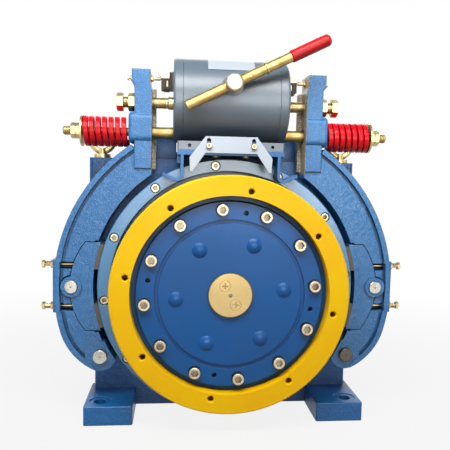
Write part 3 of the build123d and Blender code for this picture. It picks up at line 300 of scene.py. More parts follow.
# %% [markdown]
# ## Enamel
#
# One recipe serves every enamelled part: the paint colour clouded with a deeper tone, a
# darker colour in the corners that is partly dust and partly painted shade, a paler colour
# where an edge is rubbed, and cast skin under the gloss. Rough castings also take a speckle
# of painted light: pale paint on the crests of the skin as painted glints, and deep paint in
# its pits as painted shade. A glossier part can have a clear coat, and a smooth machined part
# takes less relief.

# %% Enamel
# How strongly and how dark the corners are made: partly dust, partly painted shade.
CLOUDING, DUST_SHADING, DUST_SHADE_TONE = 0.55, 0.75, 0.35
ROUGHER_IN_DUST = 0.2


def enamel(name, base, deep, rubbed, relief, grain, gloss, wear, specular=0.10, coat=0.0,
           speckle=0.0, bare=None):
    """bare, where given, is a function that returns a mask and the colour of bare metal."""
    material, tree, shader = new_material(
        name, Coat_Weight=coat, Coat_Roughness=0.12, Specular_IOR_Level=specular)
    edge = place(tree, edge_group)
    skin = place(tree, cast_group, Relief=relief, Grain=grain, Normal=edge["Normal"])
    dust_shade = place(tree, dust_shade_group)
    clouded = mix_colour(tree, reckon(tree, "MULTIPLY", skin["Cloud"], CLOUDING),
                         colour(base), colour(deep))
    # Painted light: the crests of the skin get paler paint as painted glints, and its pits get
    # deeper paint as painted shade.
    if speckle:
        crests = stretch(tree, skin["Speckle"], 0.50, 0.66, 0.0, speckle)
        pits = stretch(tree, skin["Speckle"], 0.48, 0.34, 0.0, speckle)
        clouded = mix_colour(tree, crests, clouded, colour(rubbed))
        clouded = mix_colour(tree, pits, clouded, colour(deep))
    # Darker in the corners: partly dust, partly painted shade.
    dusty_shaded = mix_colour(tree, reckon(tree, "MULTIPLY", dust_shade["DustAndShade"], DUST_SHADING),
                       clouded, darker(colour(deep), DUST_SHADE_TONE))
    worn = mix_colour(tree, reckon(tree, "MULTIPLY", edge["Edge"], wear), dusty_shaded, colour(rubbed))
    rough = stretch(tree, skin["Cloud"], 0.0, 1.0, gloss - 0.04, gloss + 0.08)
    dust_rough = reckon(tree, "MULTIPLY", dust_shade["DustAndShade"], ROUGHER_IN_DUST)
    rough = reckon(tree, "ADD", rough, dust_rough)
    if bare:
        mask, metal_colour = bare(tree)
        worn = mix_colour(tree, mask, worn, metal_colour)
        rough = reckon(tree, "ADD", rough, reckon(tree, "MULTIPLY", mask, ROUGHER_IN_DUST))
    wire(tree, [(worn, shader["Base Color"]), (rough, shader["Roughness"]),
                (skin["Normal"], shader["Normal"])])
    return material


print("enamel recipe ready")

# %% [markdown]
# ## Unpainted inner faces
#
# The sides of the brake arms that face the magnet are not enamelled: they show a beige,
# speckled casting. A mask picks them by their place, which is within the inner face of the
# columns and above the bow, and by the direction that they face.

# %% Bare inner faces
COLUMN_DEPTH, RIB_STANDS = 32 * MM, 3 * MM
BOW_BELOW_BAR, BOW_FADE = 45 * MM, 10 * MM
SPECK_SCALE = 420.0
COLUMN_INNER = -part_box("push_nut_left")[1].x - COLUMN_DEPTH
HEAD_INNER = COLUMN_INNER + RIB_STANDS
BOW_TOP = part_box("magnet_base_bar")[0].z - BOW_BELOW_BAR


def bare_inner_faces(tree):
    """The mask of the bare faces and their colour."""
    spot = add(tree, "TexCoord").outputs["Object"]
    place_at = add(tree, "SeparateXYZ", {0: spot}).outputs
    facing = add(tree, "SeparateXYZ", {0: add(tree, "NewGeometry").outputs["True Normal"]})
    sideways = stretch(tree, reckon(tree, "ABSOLUTE", facing.outputs["X"]), 0.4, 0.7)
    from_middle = reckon(tree, "ABSOLUTE", place_at["X"])
    on_face = stretch(tree, from_middle, HEAD_INNER + 1 * MM, HEAD_INNER + 0.5 * MM)
    on_rib = stretch(tree, from_middle, COLUMN_INNER + 0.5 * MM, COLUMN_INNER)
    high = stretch(tree, place_at["Z"], BOW_TOP, BOW_TOP + BOW_FADE)
    picked = reckon(tree, "MAXIMUM", reckon(tree, "MULTIPLY", sideways, on_face), on_rib)
    speck = stretch(tree, noise(tree, spot, SPECK_SCALE, 4.0), 0.40, 0.62)
    pale = mix_colour(tree, speck, colour("93866B"), colour("D6C9A6"))
    return reckon(tree, "MULTIPLY", picked, high), pale


print("columns are bare inside", round(COLUMN_INNER / MM, 1), "mm")

# %% [markdown]
# ## The enamels
#
# Each line gives the paint, its deeper shade and the colour of a rubbed edge, then the
# relief and grain of the skin, the roughness and how much the edges are worn.

# %% Enamel colours
BLUE, DEEP_BLUE, RUBBED_BLUE = "0466A8", "02508C", "9CC6DE"
FINISHES = {
    "cast_blue": enamel("cast_blue", BLUE, DEEP_BLUE, RUBBED_BLUE, 0.8, 300.0, 0.36, 0.5, 0.45,
                        speckle=0.07),
    "arm_blue": enamel("arm_blue", "0A6EAC", "045896", RUBBED_BLUE, 1.0, 430.0, 0.33, 0.55, 0.6,
                       speckle=0.20, bare=bare_inner_faces),
    "drum_blue": enamel("drum_blue", "3C84B4", "1E6AA2", RUBBED_BLUE, 0.10, 220.0, 0.26, 0.4, 0.8,
                        coat=0.2),
    "hub_blue": enamel("hub_blue", "02569A", "024884", "7FA3C8", 0.08, 200.0, 0.32, 0.35, 0.26),
    "sheave_yellow": enamel("sheave_yellow", "FFCC00", "FCB600", "FFE080", 0.06, 180.0, 0.38,
                            0.3, 0.12),
    "magnet_grey": enamel("magnet_grey", "5A6873", "4A5967", "A9B1B8", 0.12, 500.0, 0.36, 0.35,
                          0.8),
    "guard_pale": enamel("guard_pale", "CBD5E0", "B6C3D2", "E4E9EF", 0.05, 400.0, 0.35, 0.3),
    "spring_red": enamel("spring_red", "E8061C", "C40416", "E67A76", 0.10, 260.0, 0.24, 0.25,
                         0.2),
}
print(len(FINISHES), "enamels")

# %% [markdown]
# ## Plated and bare metal
#
# Zinc plate is fine-grained and dull, and yellow passivate swims between straw, green and
# pink. Bare steel is either ground or turned. All of them are metallic, so the colour is
# that of the reflection, and the roughness carries most of the look.

# %% Metals
# Colours for closed-in places: partly dirt, partly painted shade.
METAL_DIRT_SHADE, TURNED_DIRT_SHADE, METAL_EDGE = "2C241C", "40382C", "F2EEE6"
EVEN_GRAIN, COARSE_GRAIN = (900.0, 900.0, 900.0), (260.0, 260.0, 260.0)
SHAFT_X, SHAFT_Z = 0.0, 0.255


def metal(name, base, tint, rough, relief=0.15, squeeze=EVEN_GRAIN, dark_right=None):
    """dark_right, where given, is the colour of the parts on the right of the machine."""
    material, tree, shader = new_material(name, Metallic=1.0)
    edge = place(tree, edge_group, Radius=0.0007, Patchiness=90.0)
    grain = place(tree, drawn_group, Squeeze=squeeze, Relief=relief, Normal=edge["Normal"])
    dust_shade = place(tree, dust_shade_group, Reach=0.011)
    spot = add(tree, "TexCoord").outputs["Object"]
    swim = stretch(tree, noise(tree, spot, 55.0, 3.0), 0.35, 0.65)
    tinted = mix_colour(tree, swim, colour(base), colour(tint))
    # Darker in closed-in places: partly dirt, partly painted shade.
    stained_shaded = mix_colour(tree, reckon(tree, "MULTIPLY", dust_shade["DustAndShade"], 0.9), tinted,
                         colour(METAL_DIRT_SHADE))
    bright = mix_colour(tree, reckon(tree, "MULTIPLY", edge["Edge"], 0.4), stained_shaded,
                        colour(METAL_EDGE))
    if dark_right:
        across = add(tree, "SeparateXYZ", {0: spot}).outputs["X"]
        bright = mix_colour(tree, stretch(tree, across, -10 * MM, 10 * MM), bright,
                            colour(dark_right))
    patch = stretch(tree, grain["Streak"], 0.3, 0.7, rough - 0.07, rough + 0.09)
    wire(tree, [(bright, shader["Base Color"]), (patch, shader["Roughness"]),
                (grain["Normal"], shader["Normal"])])
    return material


def turned(name, base, tint, axis_x, axis_z, rings, rough):
    """A face turned about the axis that passes through axis_x and axis_z."""
    material, tree, shader = new_material(name, Metallic=1.0)
    edge = place(tree, edge_group, Radius=0.0008, Patchiness=60.0)
    marks = place(tree, lathe_group, Axis_X=axis_x, Axis_Z=axis_z, Rings=rings, Relief=0.25,
                  Normal=edge["Normal"])
    dust_shade = place(tree, dust_shade_group, Reach=0.008)
    ringed = mix_colour(tree, marks["Streak"], colour(base), colour(tint))
    # Darker in closed-in places: partly dirt, partly painted shade.
    stained_shaded = mix_colour(tree, reckon(tree, "MULTIPLY", dust_shade["DustAndShade"], 0.7), ringed,
                         colour(TURNED_DIRT_SHADE))
    patch = stretch(tree, marks["Streak"], 0.3, 0.7, rough - 0.06, rough + 0.10)
    wire(tree, [(stained_shaded, shader["Base Color"]), (patch, shader["Roughness"]),
                (marks["Normal"], shader["Normal"])])
    return material


FINISHES["zinc_yellow"] = metal("zinc_yellow", "D2BE8C", "BFA97A", 0.34)
FINISHES["zinc_white"] = metal("zinc_white", "BDB096", "A4977D", 0.36)
FINISHES["rod_gold"] = metal("rod_gold", "B39A64", "9A7F4C", 0.44, 0.10, COARSE_GRAIN)
FINISHES["ground_steel"] = metal("ground_steel", "C6C3BC", "ABA69C", 0.30)
FINISHES["pivot_steel"] = metal("pivot_steel", "C6C3BC", "ABA69C", 0.32, dark_right="5E5850")
FINISHES["cover_bright"] = metal("cover_bright", "BDB4A6", "A2988A", 0.42)
FINISHES["black_oxide"] = metal("black_oxide", "4A4744", "5A544E", 0.42, 0.2)
FINISHES["gold_cap"] = turned("gold_cap", "B09868", "A08A5C", SHAFT_X, SHAFT_Z, 2600.0, 0.36)
print(len(FINISHES), "finishes with the metals")

# %% [markdown]
# ## Moulded, wound and stacked parts
#
# The rest is dull: moulded switch cases, the dipped lever sleeve, lacquered copper, pressed
# brake lining and the stack of motor laminations. One recipe with a colour, a grain size and
# a gloss is enough, because their difference is in scale and sheen.

# %% Dull finishes
def dull(name, base, tint, rough=0.55, grain=600.0, relief=0.25, lumps=90.0):
    material, tree, shader = new_material(name, Specular_IOR_Level=0.25)
    edge = place(tree, edge_group, Radius=0.0008, Patchiness=70.0)
    skin = place(tree, cast_group, Grain=grain, Lumps=lumps, Relief=relief, Normal=edge["Normal"])
    dust_shade = place(tree, dust_shade_group, Reach=0.01)
    mottled = mix_colour(tree, skin["Speckle"], colour(base), colour(tint))
    # Darker in closed-in places: partly dust, partly painted shade.
    dusty_shaded = mix_colour(tree, reckon(tree, "MULTIPLY", dust_shade["DustAndShade"], 0.6), mottled,
                       darker(colour(base), 0.3))
    worn = mix_colour(tree, reckon(tree, "MULTIPLY", edge["Edge"], 0.25), dusty_shaded, colour("D8D4CC"))
    patch = stretch(tree, skin["Speckle"], 0.3, 0.7, rough - 0.06, rough + 0.08)
    wire(tree, [(worn, shader["Base Color"]), (patch, shader["Roughness"]),
                (skin["Normal"], shader["Normal"])])
    return material


FINISHES["red_sleeve"] = dull("red_sleeve", "C01218", "B00E14", 0.36, 700.0, 0.1)
FINISHES["switch_case"] = dull("switch_case", "453A2E", "2C2620", 0.45)
FINISHES["label_white"] = dull("label_white", "AAB3BA", "9FA9B1", 0.42, 900.0, 0.04)
FINISHES["gland_plastic"] = dull("gland_plastic", "2B2C2E", "1F2022", 0.5)
FINISHES["lacquered_copper"] = dull("lacquered_copper", "8C4A24", "6E3516", 0.35, 900.0, 0.4,
                                    260.0)
FINISHES["brake_lining"] = dull("brake_lining", "5E564C", "7A7064", 0.8, 800.0, 0.6, 200.0)
FINISHES["magnet_block"] = dull("magnet_block", "55565A", "46474B", 0.5)
FINISHES["laminations"] = dull("laminations", "77787A", "606163", 0.5, 900.0, 0.3)
print(len(FINISHES), "finishes in all")

# %% [markdown]
# ## Which part gets which finish
#
# The names of the solid model say what each part is, so a short table is enough. A name
# that covers both sides of the brake is matched by its beginning.

# %% Assign the finishes
WEARS = {
    "machine_base": "cast_blue", "rear_cover": "cast_blue", "brake_arm": "arm_blue",
    "brake_shoe": "arm_blue", "rotor_flange": "drum_blue", "brake_drum": "drum_blue",
    "sheave_hub": "hub_blue", "traction_sheave": "sheave_yellow",
    "magnet_housing": "magnet_grey", "magnet_end_caps": "magnet_grey",
    "magnet_base_bar": "magnet_grey", "rope_guard_bracket": "guard_pale",
    "brake_spring": "spring_red", "main_shaft": "ground_steel", "bearings": "ground_steel",
    "pivot_pins": "pivot_steel", "shoe_pin": "ground_steel", "plunger": "zinc_yellow",
    "lever_cam": "ground_steel", "lever_knob": "zinc_white", "hub_bolts": "zinc_white",
    "drum_screws": "zinc_white", "bracket_screws": "zinc_white",
    "rear_cover_screws": "zinc_white", "switch_plunger": "zinc_white",
    "centre_cap": "gold_cap", "cap_screws": "gold_cap", "lever_rod": "rod_gold",
    "spring_rods": "rod_gold", "eyebolts": "zinc_yellow", "spring_washers": "zinc_yellow",
    "spring_nuts": "zinc_yellow", "adjusting_screws": "zinc_yellow", "push_bolt": "zinc_yellow",
    "push_nut": "zinc_yellow", "switch_bolt": "zinc_yellow", "lever_clips": "zinc_yellow",
    "switch_brackets": "black_oxide", "encoder": "black_oxide",
    "magnet_base_bolts": "black_oxide", "microswitches": "switch_case",
    "cable_glands": "gland_plastic", "lever_grip": "red_sleeve",
    "stator_windings": "lacquered_copper", "brake_coils": "lacquered_copper",
    "brake_lining": "brake_lining", "rotor_magnets": "magnet_block",
    "rotor_yoke": "laminations", "stator_core": "laminations",
}


def give(piece, finish):
    """The piece has one material, and every face uses it."""
    piece.data.materials.clear()
    piece.data.materials.append(FINISHES[finish])
    piece.data.polygons.foreach_set("material_index", [0] * len(piece.data.polygons))


for name, piece in nodes.items():
    plain = name.removesuffix("_left").removesuffix("_right")
    give(piece, WEARS[plain])
print("every CAD node has its finish")

# %% [markdown]
# ## Brake springs
#
# These are die springs: a thick wire of nearly rectangular section, wound so tightly that
# only narrow dark gaps show between the turns, closed and ground flat at both ends. The arm
# swings out when the brake is released and squeezes the spring. The wire is one rounded
# section carried round by the spin operator, first slowly for the closed end, then at the
# full pitch, then slowly again.

# %% Spring helpers
SIDES = {"left": -1, "right": 1}
STEPS_PER_TURN = 36
ALONG_X = Vector((1, 0, 0))


def new_piece(name, mesh_builder, finish):
    """Turns a finished bmesh into an object with its finish."""
    bmesh.ops.remove_doubles(mesh_builder, verts=mesh_builder.verts, dist=1e-6)
    bmesh.ops.recalc_face_normals(mesh_builder, faces=mesh_builder.faces)
    mesh = bpy.data.meshes.new(name)
    mesh_builder.to_mesh(mesh)
    mesh_builder.free()
    piece = bpy.data.objects.new(name, mesh)
    bpy.context.scene.collection.objects.link(piece)
    give(piece, finish)
    return piece


def wind(bm, start, centre, axis, turns, pitch):
    """Carries the section round the axis while it moves along; returns its last place."""
    steps = max(1, round(abs(turns) * STEPS_PER_TURN))
    done = bmesh.ops.spin(bm, geom=start, cent=centre, axis=axis,
                          dvec=axis * pitch / STEPS_PER_TURN, angle=turns * 2 * math.pi,
                          steps=steps, use_merge=False, use_duplicate=False)
    return done["geom_last"]


def flat_section(bm, centre, axial, radial, corner):
    """A rounded rectangle in the X-Z plane, as one face."""
    made = bmesh.ops.create_grid(bm, x_segments=1, y_segments=1, size=0.5)
    turn = Matrix.Translation(centre) @ Matrix.Rotation(math.pi / 2, 4, "X")
    size = Matrix.Diagonal((axial, radial, 1.0, 1.0))
    bmesh.ops.transform(bm, matrix=turn @ size, verts=made["verts"])
    bmesh.ops.bevel(bm, geom=made["verts"], offset=corner, offset_type="OFFSET", segments=3,
                    profile=0.5, affect="VERTICES", material=-1)
    return list(bm.faces)


print(STEPS_PER_TURN, "steps in a turn")

# %% [markdown]
# ## The two coils
#
# The wire is 9.2 mm wide along the spring, 11.6 mm thick, and its corners are rounded. Each
# coil fills the box of the plain spring that it stands for.

# %% Springs
WIRE_AXIAL, WIRE_RADIAL, WIRE_CORNER = 9.2 * MM, 11.6 * MM, 1.6 * MM
CLOSED_TURNS, OPEN_TURNS = 0.6, 5.4
CLOSED_PITCH = WIRE_AXIAL * 1.06


def coil_spring(side):
    low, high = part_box(f"brake_spring_{side}")
    middle = (low + high) / 2
    outer = (high.z - low.z) / 2
    start = Vector((low.x + WIRE_AXIAL / 2, middle.y, middle.z + outer - WIRE_RADIAL / 2))
    travel = high.x - low.x - WIRE_AXIAL
    pitch = (travel - 2 * CLOSED_TURNS * CLOSED_PITCH) / OPEN_TURNS
    bm = bmesh.new()
    loop = flat_section(bm, start, WIRE_AXIAL, WIRE_RADIAL, WIRE_CORNER)
    for turns, step in ((CLOSED_TURNS, CLOSED_PITCH), (OPEN_TURNS, pitch),
                        (CLOSED_TURNS, CLOSED_PITCH)):
        loop = wind(bm, loop, middle, ALONG_X, turns, step)
    piece = new_piece(f"spring_coil_{side}", bm, "spring_red")
    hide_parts(f"brake_spring_{side}")
    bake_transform(piece)
    return piece, pitch


for side, sign in SIDES.items():
    made, pitch = coil_spring(side)
    print(made.name, len(made.data.polygons), "faces, pitch", round(pitch / MM, 2), "mm")

# %% [markdown]
# ## Screw threads
#
# The push bolts, rod ends, adjusting screws and switch bolts show their threads. A thread is
# one three-sided section that climbs round the shank, so the same spin as for the springs
# makes it, with a small section and a short pitch. It rides on the body of its bolt. Lengths
# along X are measured from the middle of the machine, and the sign picks the side.

# %% Threads
THREAD_SINK = 0.1 * MM
PUSH_THREAD = (10 * MM, 2.5 * MM)       # radius of the shank, pitch
ROD_THREAD = (8 * MM, 2.0 * MM)
ADJUST_THREAD = (4 * MM, 1.4 * MM)
SWITCH_THREAD = (3 * MM, 1.2 * MM)
ADJUST_HEAD = 6.5 * MM                  # half the width across flats of its nut and head
PLATED = "zinc_yellow"


def thread(name, body, slot, finish, x0, x1, y, z, radius, pitch):
    """A helical ridge about a line along X, from x0 to x1."""
    height = 0.5 * pitch
    bm = bmesh.new()
    made = bmesh.ops.create_circle(bm, cap_ends=True, segments=3, radius=0.5 * pitch)
    stand = Matrix.Translation((x0, y, z + radius + height / 4 - THREAD_SINK))
    slim = Matrix.Diagonal((0.85, 1.0, height / (0.75 * pitch), 1.0))
    upright = Matrix.Rotation(math.pi / 2, 4, "X")
    bmesh.ops.transform(bm, matrix=stand @ slim @ upright, verts=made["verts"])
    wind(bm, list(bm.faces), Vector((x0, y, z)), ALONG_X, (x1 - x0) / pitch, pitch)
    piece = new_piece(name, bm, finish)
    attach(piece, body)
    return piece


def bolt_threads(side, sign):
    """Every thread that shows on one side."""
    made = []

    def cut(label, body, start, end, y, z, size):
        x0, x1 = sorted((sign * start, sign * end))
        made.append(thread(f"thread_{label}_{side}", body, PLATED, PLATED, x0, x1, y, z, *size))

    arm = f"arm_{side}"
    low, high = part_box(f"push_bolt_{side}")
    mid = (low + high) / 2
    nut_outer = max(abs(corner.x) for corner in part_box(f"push_nut_{side}"))
    ends = sorted((abs(low.x), abs(high.x)))
    cut("push_inner", arm, ends[0] + 2 * MM, ends[0] + 27 * MM, mid.y, mid.z, PUSH_THREAD)
    cut("push_outer", arm, nut_outer + 0.5 * MM, ends[1] - 13 * MM, mid.y, mid.z, PUSH_THREAD)
    low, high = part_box("spring_rods")
    mid = (low + high) / 2
    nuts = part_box("spring_nuts")[1].x
    cut("rod", "base", nuts + 0.5 * MM, high.x - 2.5 * MM, mid.y, mid.z, ROD_THREAD)
    low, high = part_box(f"adjusting_screws_{side}")
    mid = (low + high) / 2
    out = max(abs(low.x), abs(high.x))
    for label, level in (("upper", high.z - ADJUST_HEAD), ("lower", low.z + ADJUST_HEAD)):
        cut(f"adjust_{label}", arm, out - 16 * MM, out - 6.5 * MM, mid.y, level, ADJUST_THREAD)
    low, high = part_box(f"switch_bolt_{side}")
    mid = (low + high) / 2
    ends = sorted((abs(low.x), abs(high.x)))
    cut("switch", arm, ends[0] + 1.5 * MM, ends[0] + 8.5 * MM, mid.y, mid.z, SWITCH_THREAD)
    return made


for side, sign in SIDES.items():
    made = bolt_threads(side, sign)
    print(side, "threads:", sum(len(piece.data.polygons) for piece in made), "faces")

# %% [markdown]
# ## Switch covers, terminals and levers
#
# Each brake switch has a bright cover over its upper half, a terminal strip under it and a
# thin spring lever beside its button. All three are bent sheet, so one helper makes them: a
# line of corners is pulled sideways to a sheet, given its thickness and its edges rounded.

# %% Bent sheet
SHEET_ROUNDING = 0.22                   # bevel as a share of the thickness
COVER_STANDS, COVER_RISES = 0.9 * MM, 0.4 * MM
COVER_DROP, COVER_DEPTH, COVER_WIDTH = 12.5 * MM, 15 * MM, 15.5 * MM
COVER_T, STRIP_T, BLADE_T = 0.7 * MM, 0.8 * MM, 0.5 * MM
STRIP_INSET, STRIP_WIDTH = 10 * MM, 3 * MM
BLADE_BACK, BLADE_WIDTH = 8 * MM, 5 * MM


def bent_sheet(name, corners, across, thickness, finish, body="base"):
    """A strip of sheet that follows the corners and is as wide as the vector across."""
    bm = bmesh.new()
    line = [bmesh.ops.create_vert(bm, co=corner)["vert"][0] for corner in corners]
    edges = [bmesh.ops.contextual_create(bm, geom=[a, b])["edges"][0]
             for a, b in zip(line, line[1:])]
    pulled = bmesh.ops.extrude_edge_only(bm, edges=edges)["geom"]
    moved = [item for item in pulled if isinstance(item, bmesh.types.BMVert)]
    bmesh.ops.translate(bm, verts=moved, vec=across)
    bmesh.ops.recalc_face_normals(bm, faces=bm.faces)
    bmesh.ops.solidify(bm, geom=list(bm.faces), thickness=thickness)
    bmesh.ops.bevel(bm, geom=list(bm.edges), offset=thickness * SHEET_ROUNDING,
                    offset_type="OFFSET", segments=2, profile=0.5, affect="EDGES", material=-1)
    piece = new_piece(name, bm, finish)
    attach(piece, body)
    return piece


def switch_details(side, sign):
    low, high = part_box("microswitches")
    front, top, outer = low.y - COVER_STANDS, high.z + COVER_RISES, high.x
    strip_x, blade_y = outer - STRIP_INSET, low.y + BLADE_BACK

    def at(x, y, z):
        return Vector((sign * x, y, z))

    cover = [at(outer, front, top - COVER_DROP), at(outer, front, top),
             at(outer, front + COVER_DEPTH, top)]
    strip = [at(strip_x, front + 2 * MM, top - 30 * MM), at(strip_x, front, top - 27 * MM),
             at(strip_x, front, top - 17 * MM), at(strip_x, front + 1 * MM, top - 16 * MM)]
    blade = [at(outer, blade_y, top - 8.4 * MM), at(outer + 2 * MM, blade_y, top - 7.6 * MM),
             at(outer + 7 * MM, blade_y, top)]
    return [
        bent_sheet(f"switch_cover_{side}", cover, at(-COVER_WIDTH, 0, 0), COVER_T,
                   "cover_bright"),
        bent_sheet(f"switch_terminal_{side}", strip, at(-STRIP_WIDTH, 0, 0), STRIP_T,
                   "zinc_white"),
        bent_sheet(f"switch_blade_{side}", blade, Vector((0, BLADE_WIDTH, 0)), BLADE_T,
                   "zinc_white"),
    ]


for side, sign in SIDES.items():
    for made in switch_details(side, sign):
        print(made.name, len(made.data.polygons), "faces")

# %% [markdown]
# ## Label on the magnet
#
# A pale vinyl label lies round the upper front of the magnet case. It carries nothing here.
# A straight edge spun about the axis of the case makes a sheet that follows the curve.

# %% Label
LABEL_X = (-44 * MM, 42 * MM)
LABEL_FROM, LABEL_TO = math.radians(22), math.radians(50)
LABEL_PROUD, LABEL_T = 0.15 * MM, 0.25 * MM
low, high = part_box("magnet_housing")
case_middle = Vector((0, (low.y + high.y) / 2, high.z - (high.y - low.y) / 2))
case_radius = (high.y - low.y) / 2
bm = bmesh.new()
reach = case_radius + LABEL_PROUD
ends = [bmesh.ops.create_vert(bm, co=(x, case_middle.y, case_middle.z + reach))["vert"][0]
        for x in LABEL_X]
edge = bmesh.ops.contextual_create(bm, geom=ends)["edges"][0]
bmesh.ops.rotate(bm, verts=ends, cent=case_middle, matrix=Matrix.Rotation(LABEL_FROM, 3, "X"))
bmesh.ops.spin(bm, geom=[edge, *ends], cent=case_middle, axis=ALONG_X,
               angle=LABEL_TO - LABEL_FROM, steps=16, use_merge=False)
bmesh.ops.recalc_face_normals(bm, faces=bm.faces)
bmesh.ops.solidify(bm, geom=list(bm.faces), thickness=LABEL_T)
label = new_piece("magnet_label", bm, "label_white")
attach(label, "base")
print("label faces:", len(label.data.polygons))

# %% [markdown]
# ## Ends of the switch screws
#
# The screw that works each switch goes right through the head of the arm, and its small
# head stands out on the far side. Half its outline, spun once round its axis, makes the
# neck, the head and the chamfered crown.

# %% Turned heads
def turned_head(name, outline, start, direction, finish, body):
    """Spins (distance, radius) pairs, which begin and end on the axis."""
    bm = bmesh.new()
    line = [bmesh.ops.create_vert(bm, co=start + direction * along + Vector((0, 0, radius)))
            ["vert"][0] for along, radius in outline]
    edges = [bmesh.ops.contextual_create(bm, geom=[a, b])["edges"][0]
             for a, b in zip(line, line[1:])]
    bmesh.ops.spin(bm, geom=[*line, *edges], cent=start, axis=ALONG_X, angle=2 * math.pi,
                   steps=24, use_merge=True)
    piece = new_piece(name, bm, finish)
    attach(piece, body)
    return piece


SCREW_HEAD = [(0, 0), (0, 2.4 * MM), (2.5 * MM, 2.4 * MM), (2.5 * MM, 4.6 * MM),
              (5.2 * MM, 4.6 * MM), (6.0 * MM, 3.6 * MM), (6.3 * MM, 0)]
for side, sign in SIDES.items():
    low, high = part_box(f"switch_bolt_{side}")
    tip = Vector((low.x if sign < 0 else high.x, (low.y + high.y) / 2, (low.z + high.z) / 2))
    made = turned_head(f"switch_screw_head_{side}", SCREW_HEAD, tip, ALONG_X * sign,
                       "zinc_yellow", f"arm_{side}")
    print(made.name, len(made.data.polygons), "faces")

# %% [markdown]
# ## Floor
#
# The machine stands on a plain pale floor. What the camera sees of the floor and the world
# is lifted to white, as on a catalogue page, while the shadow stays. The lift is a little
# less near the machine, where the shadow lies.

# %% Floor
def seen_background(tree):
    """One for rays that show the background: to the camera, or by reflection, or through glass."""
    path = add(tree, "LightPath").outputs
    seen = reckon(tree, "ADD", path["Is Camera Ray"], path["Is Glossy Ray"], clamp=True)
    return reckon(tree, "ADD", seen, path["Is Transmission Ray"], clamp=True)


FLOOR_SIZE = 40.0
bm = bmesh.new()
bmesh.ops.create_grid(bm, x_segments=8, y_segments=8, size=FLOOR_SIZE / 2)
mesh = bpy.data.meshes.new("studio_floor")
bm.to_mesh(mesh)
bm.free()
floor = bpy.data.objects.new("studio_floor", mesh)
bpy.context.scene.collection.objects.link(floor)
floor_material, tree, shader = new_material("floor_pale", Roughness=0.9, Specular_IOR_Level=0.1)
spot = add(tree, "TexCoord").outputs["Object"]
pale = mix_colour(tree, noise(tree, spot, 3.0, 4.0), colour("B0B0AF"), colour("A8A8A7"))
tree.links.new(pale, shader["Base Color"])
glow = add(tree, "Emission", {"Color": (1, 1, 1, 1), "Strength": 1.0})
NEAR_LIFT, FAR_LIFT = 0.86, 1.0
NEAR_RADIUS, FAR_RADIUS = 0.35, 1.5
away = add(tree, "VectorMath", {0: spot}, operation="LENGTH").outputs["Value"]
lift = stretch(tree, away, NEAR_RADIUS, FAR_RADIUS, NEAR_LIFT, FAR_LIFT)
lifted = add(tree, "MixShader", {0: reckon(tree, "MULTIPLY", seen_background(tree), lift),
                                 1: tree.nodes["Principled BSDF"].outputs[0],
                                 2: glow.outputs[0]})
tree.links.new(lifted.outputs[0], tree.nodes["Material Output"].inputs["Surface"])
floor.data.materials.append(floor_material)
print("floor:", FLOOR_SIZE, "m")

# %% [markdown]
# ## World
#
# The world is white to the camera and in reflections, and lights the parts only faintly.
# Overhead it turns grey, so that upward faces keep some tone.

# %% World
SKY_LIGHT = 0.12
world = bpy.data.worlds.new("studio_world")
bpy.context.scene.world = world
world.use_nodes = True
tree = world.node_tree
tree.nodes.clear()
direction = add(tree, "TexCoord").outputs["Generated"]
lift = add(tree, "SeparateXYZ", {0: direction}).outputs["Z"]
sky = mix_colour(tree, stretch(tree, lift, 0.25, 0.95), colour("FFFFFF"), colour("A8ABAE"))
soft = add(tree, "Background", {"Color": sky, "Strength": SKY_LIGHT})
shown = add(tree, "Background", {"Color": sky, "Strength": 1.0})
both = add(tree, "MixShader", {0: seen_background(tree), 1: soft.outputs[0], 2: shown.outputs[0]})
add(tree, "OutputWorld", {"Surface": both.outputs[0]})
print("world:", world.name)

# %% [markdown]
# ## Lamps
#
# One wide lamp from above and in front carries the shading, so the machine is brightest at
# the top. A large window far in front shows only in reflections and lays a pale sheen on
# the upper front faces. Weak lamps fill the sides, and one behind lights the rear cover.

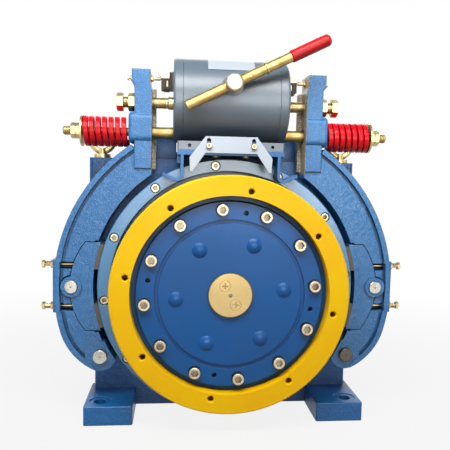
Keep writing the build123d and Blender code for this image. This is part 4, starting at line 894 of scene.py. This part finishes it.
# %% Lamps
def lamp(name, place_m, target, size, watts, gloss_only=False):
    """A rectangular lamp at place_m, turned to face target."""
    data = bpy.data.lights.new(name, "AREA")
    data.shape = "RECTANGLE"
    data.size, data.size_y = size
    data.energy = watts
    made = bpy.data.objects.new(name, data)
    made.location = place_m
    made.visible_diffuse = not gloss_only
    aim = Vector(target) - Vector(place_m)
    made.rotation_euler = aim.to_track_quat("-Z", "Y").to_euler()
    bpy.context.scene.collection.objects.link(made)


MIDDLE = (cad_box[0] + cad_box[1]) / 2
HIGH = Vector((0.0, MIDDLE.y, 0.50))
lamp("lamp_key", (-0.1, -0.80, 1.30), HIGH, (1.3, 0.45), 21.5)
lamp("lamp_window", (0.2, -2.4, 0.66), HIGH, (1.7, 0.96), 34.0, gloss_only=True)
lamp("lamp_left", (-1.6, -0.7, 0.9), MIDDLE, (0.7, 1.1), 3.5)
lamp("lamp_right", (1.7, -0.6, 0.9), MIDDLE, (0.7, 1.1), 3.5)
lamp("lamp_behind", (0.3, 1.8, 1.5), MIDDLE, (1.8, 1.2), 26.0)
print("lamps aimed at", [round(v, 3) for v in MIDDLE])

# %% [markdown]
# ## Camera
#
# The camera stands in front, slightly left of the middle and above the shaft, and looks a
# little down. Its three turns are in radians, and the shift moves the machine in the frame.

# %% Camera
CAMERA_PLACE = (-0.0994, -1.1785, 0.4639)
YAW, PITCH, ROLL = 0.0941, -0.0803, 0.0204
camera_data = bpy.data.cameras.new("camera")
camera_data.sensor_width = 36.0
camera_data.lens = 45.1
camera_data.shift_x = -0.0079
camera_data.shift_y = -0.0029
camera = bpy.data.objects.new("camera", camera_data)
level = Matrix.Rotation(-YAW, 4, "Z") @ Matrix.Rotation(math.pi / 2 + PITCH, 4, "X")
rolled = level @ Matrix.Rotation(ROLL, 4, "Z")
camera.matrix_world = Matrix.Translation(CAMERA_PLACE) @ rolled
bpy.context.scene.collection.objects.link(camera)
bpy.context.scene.camera = camera
bpy.context.scene.view_settings.view_transform = "Standard"
print("camera at", [round(v, 3) for v in camera.matrix_world.translation])
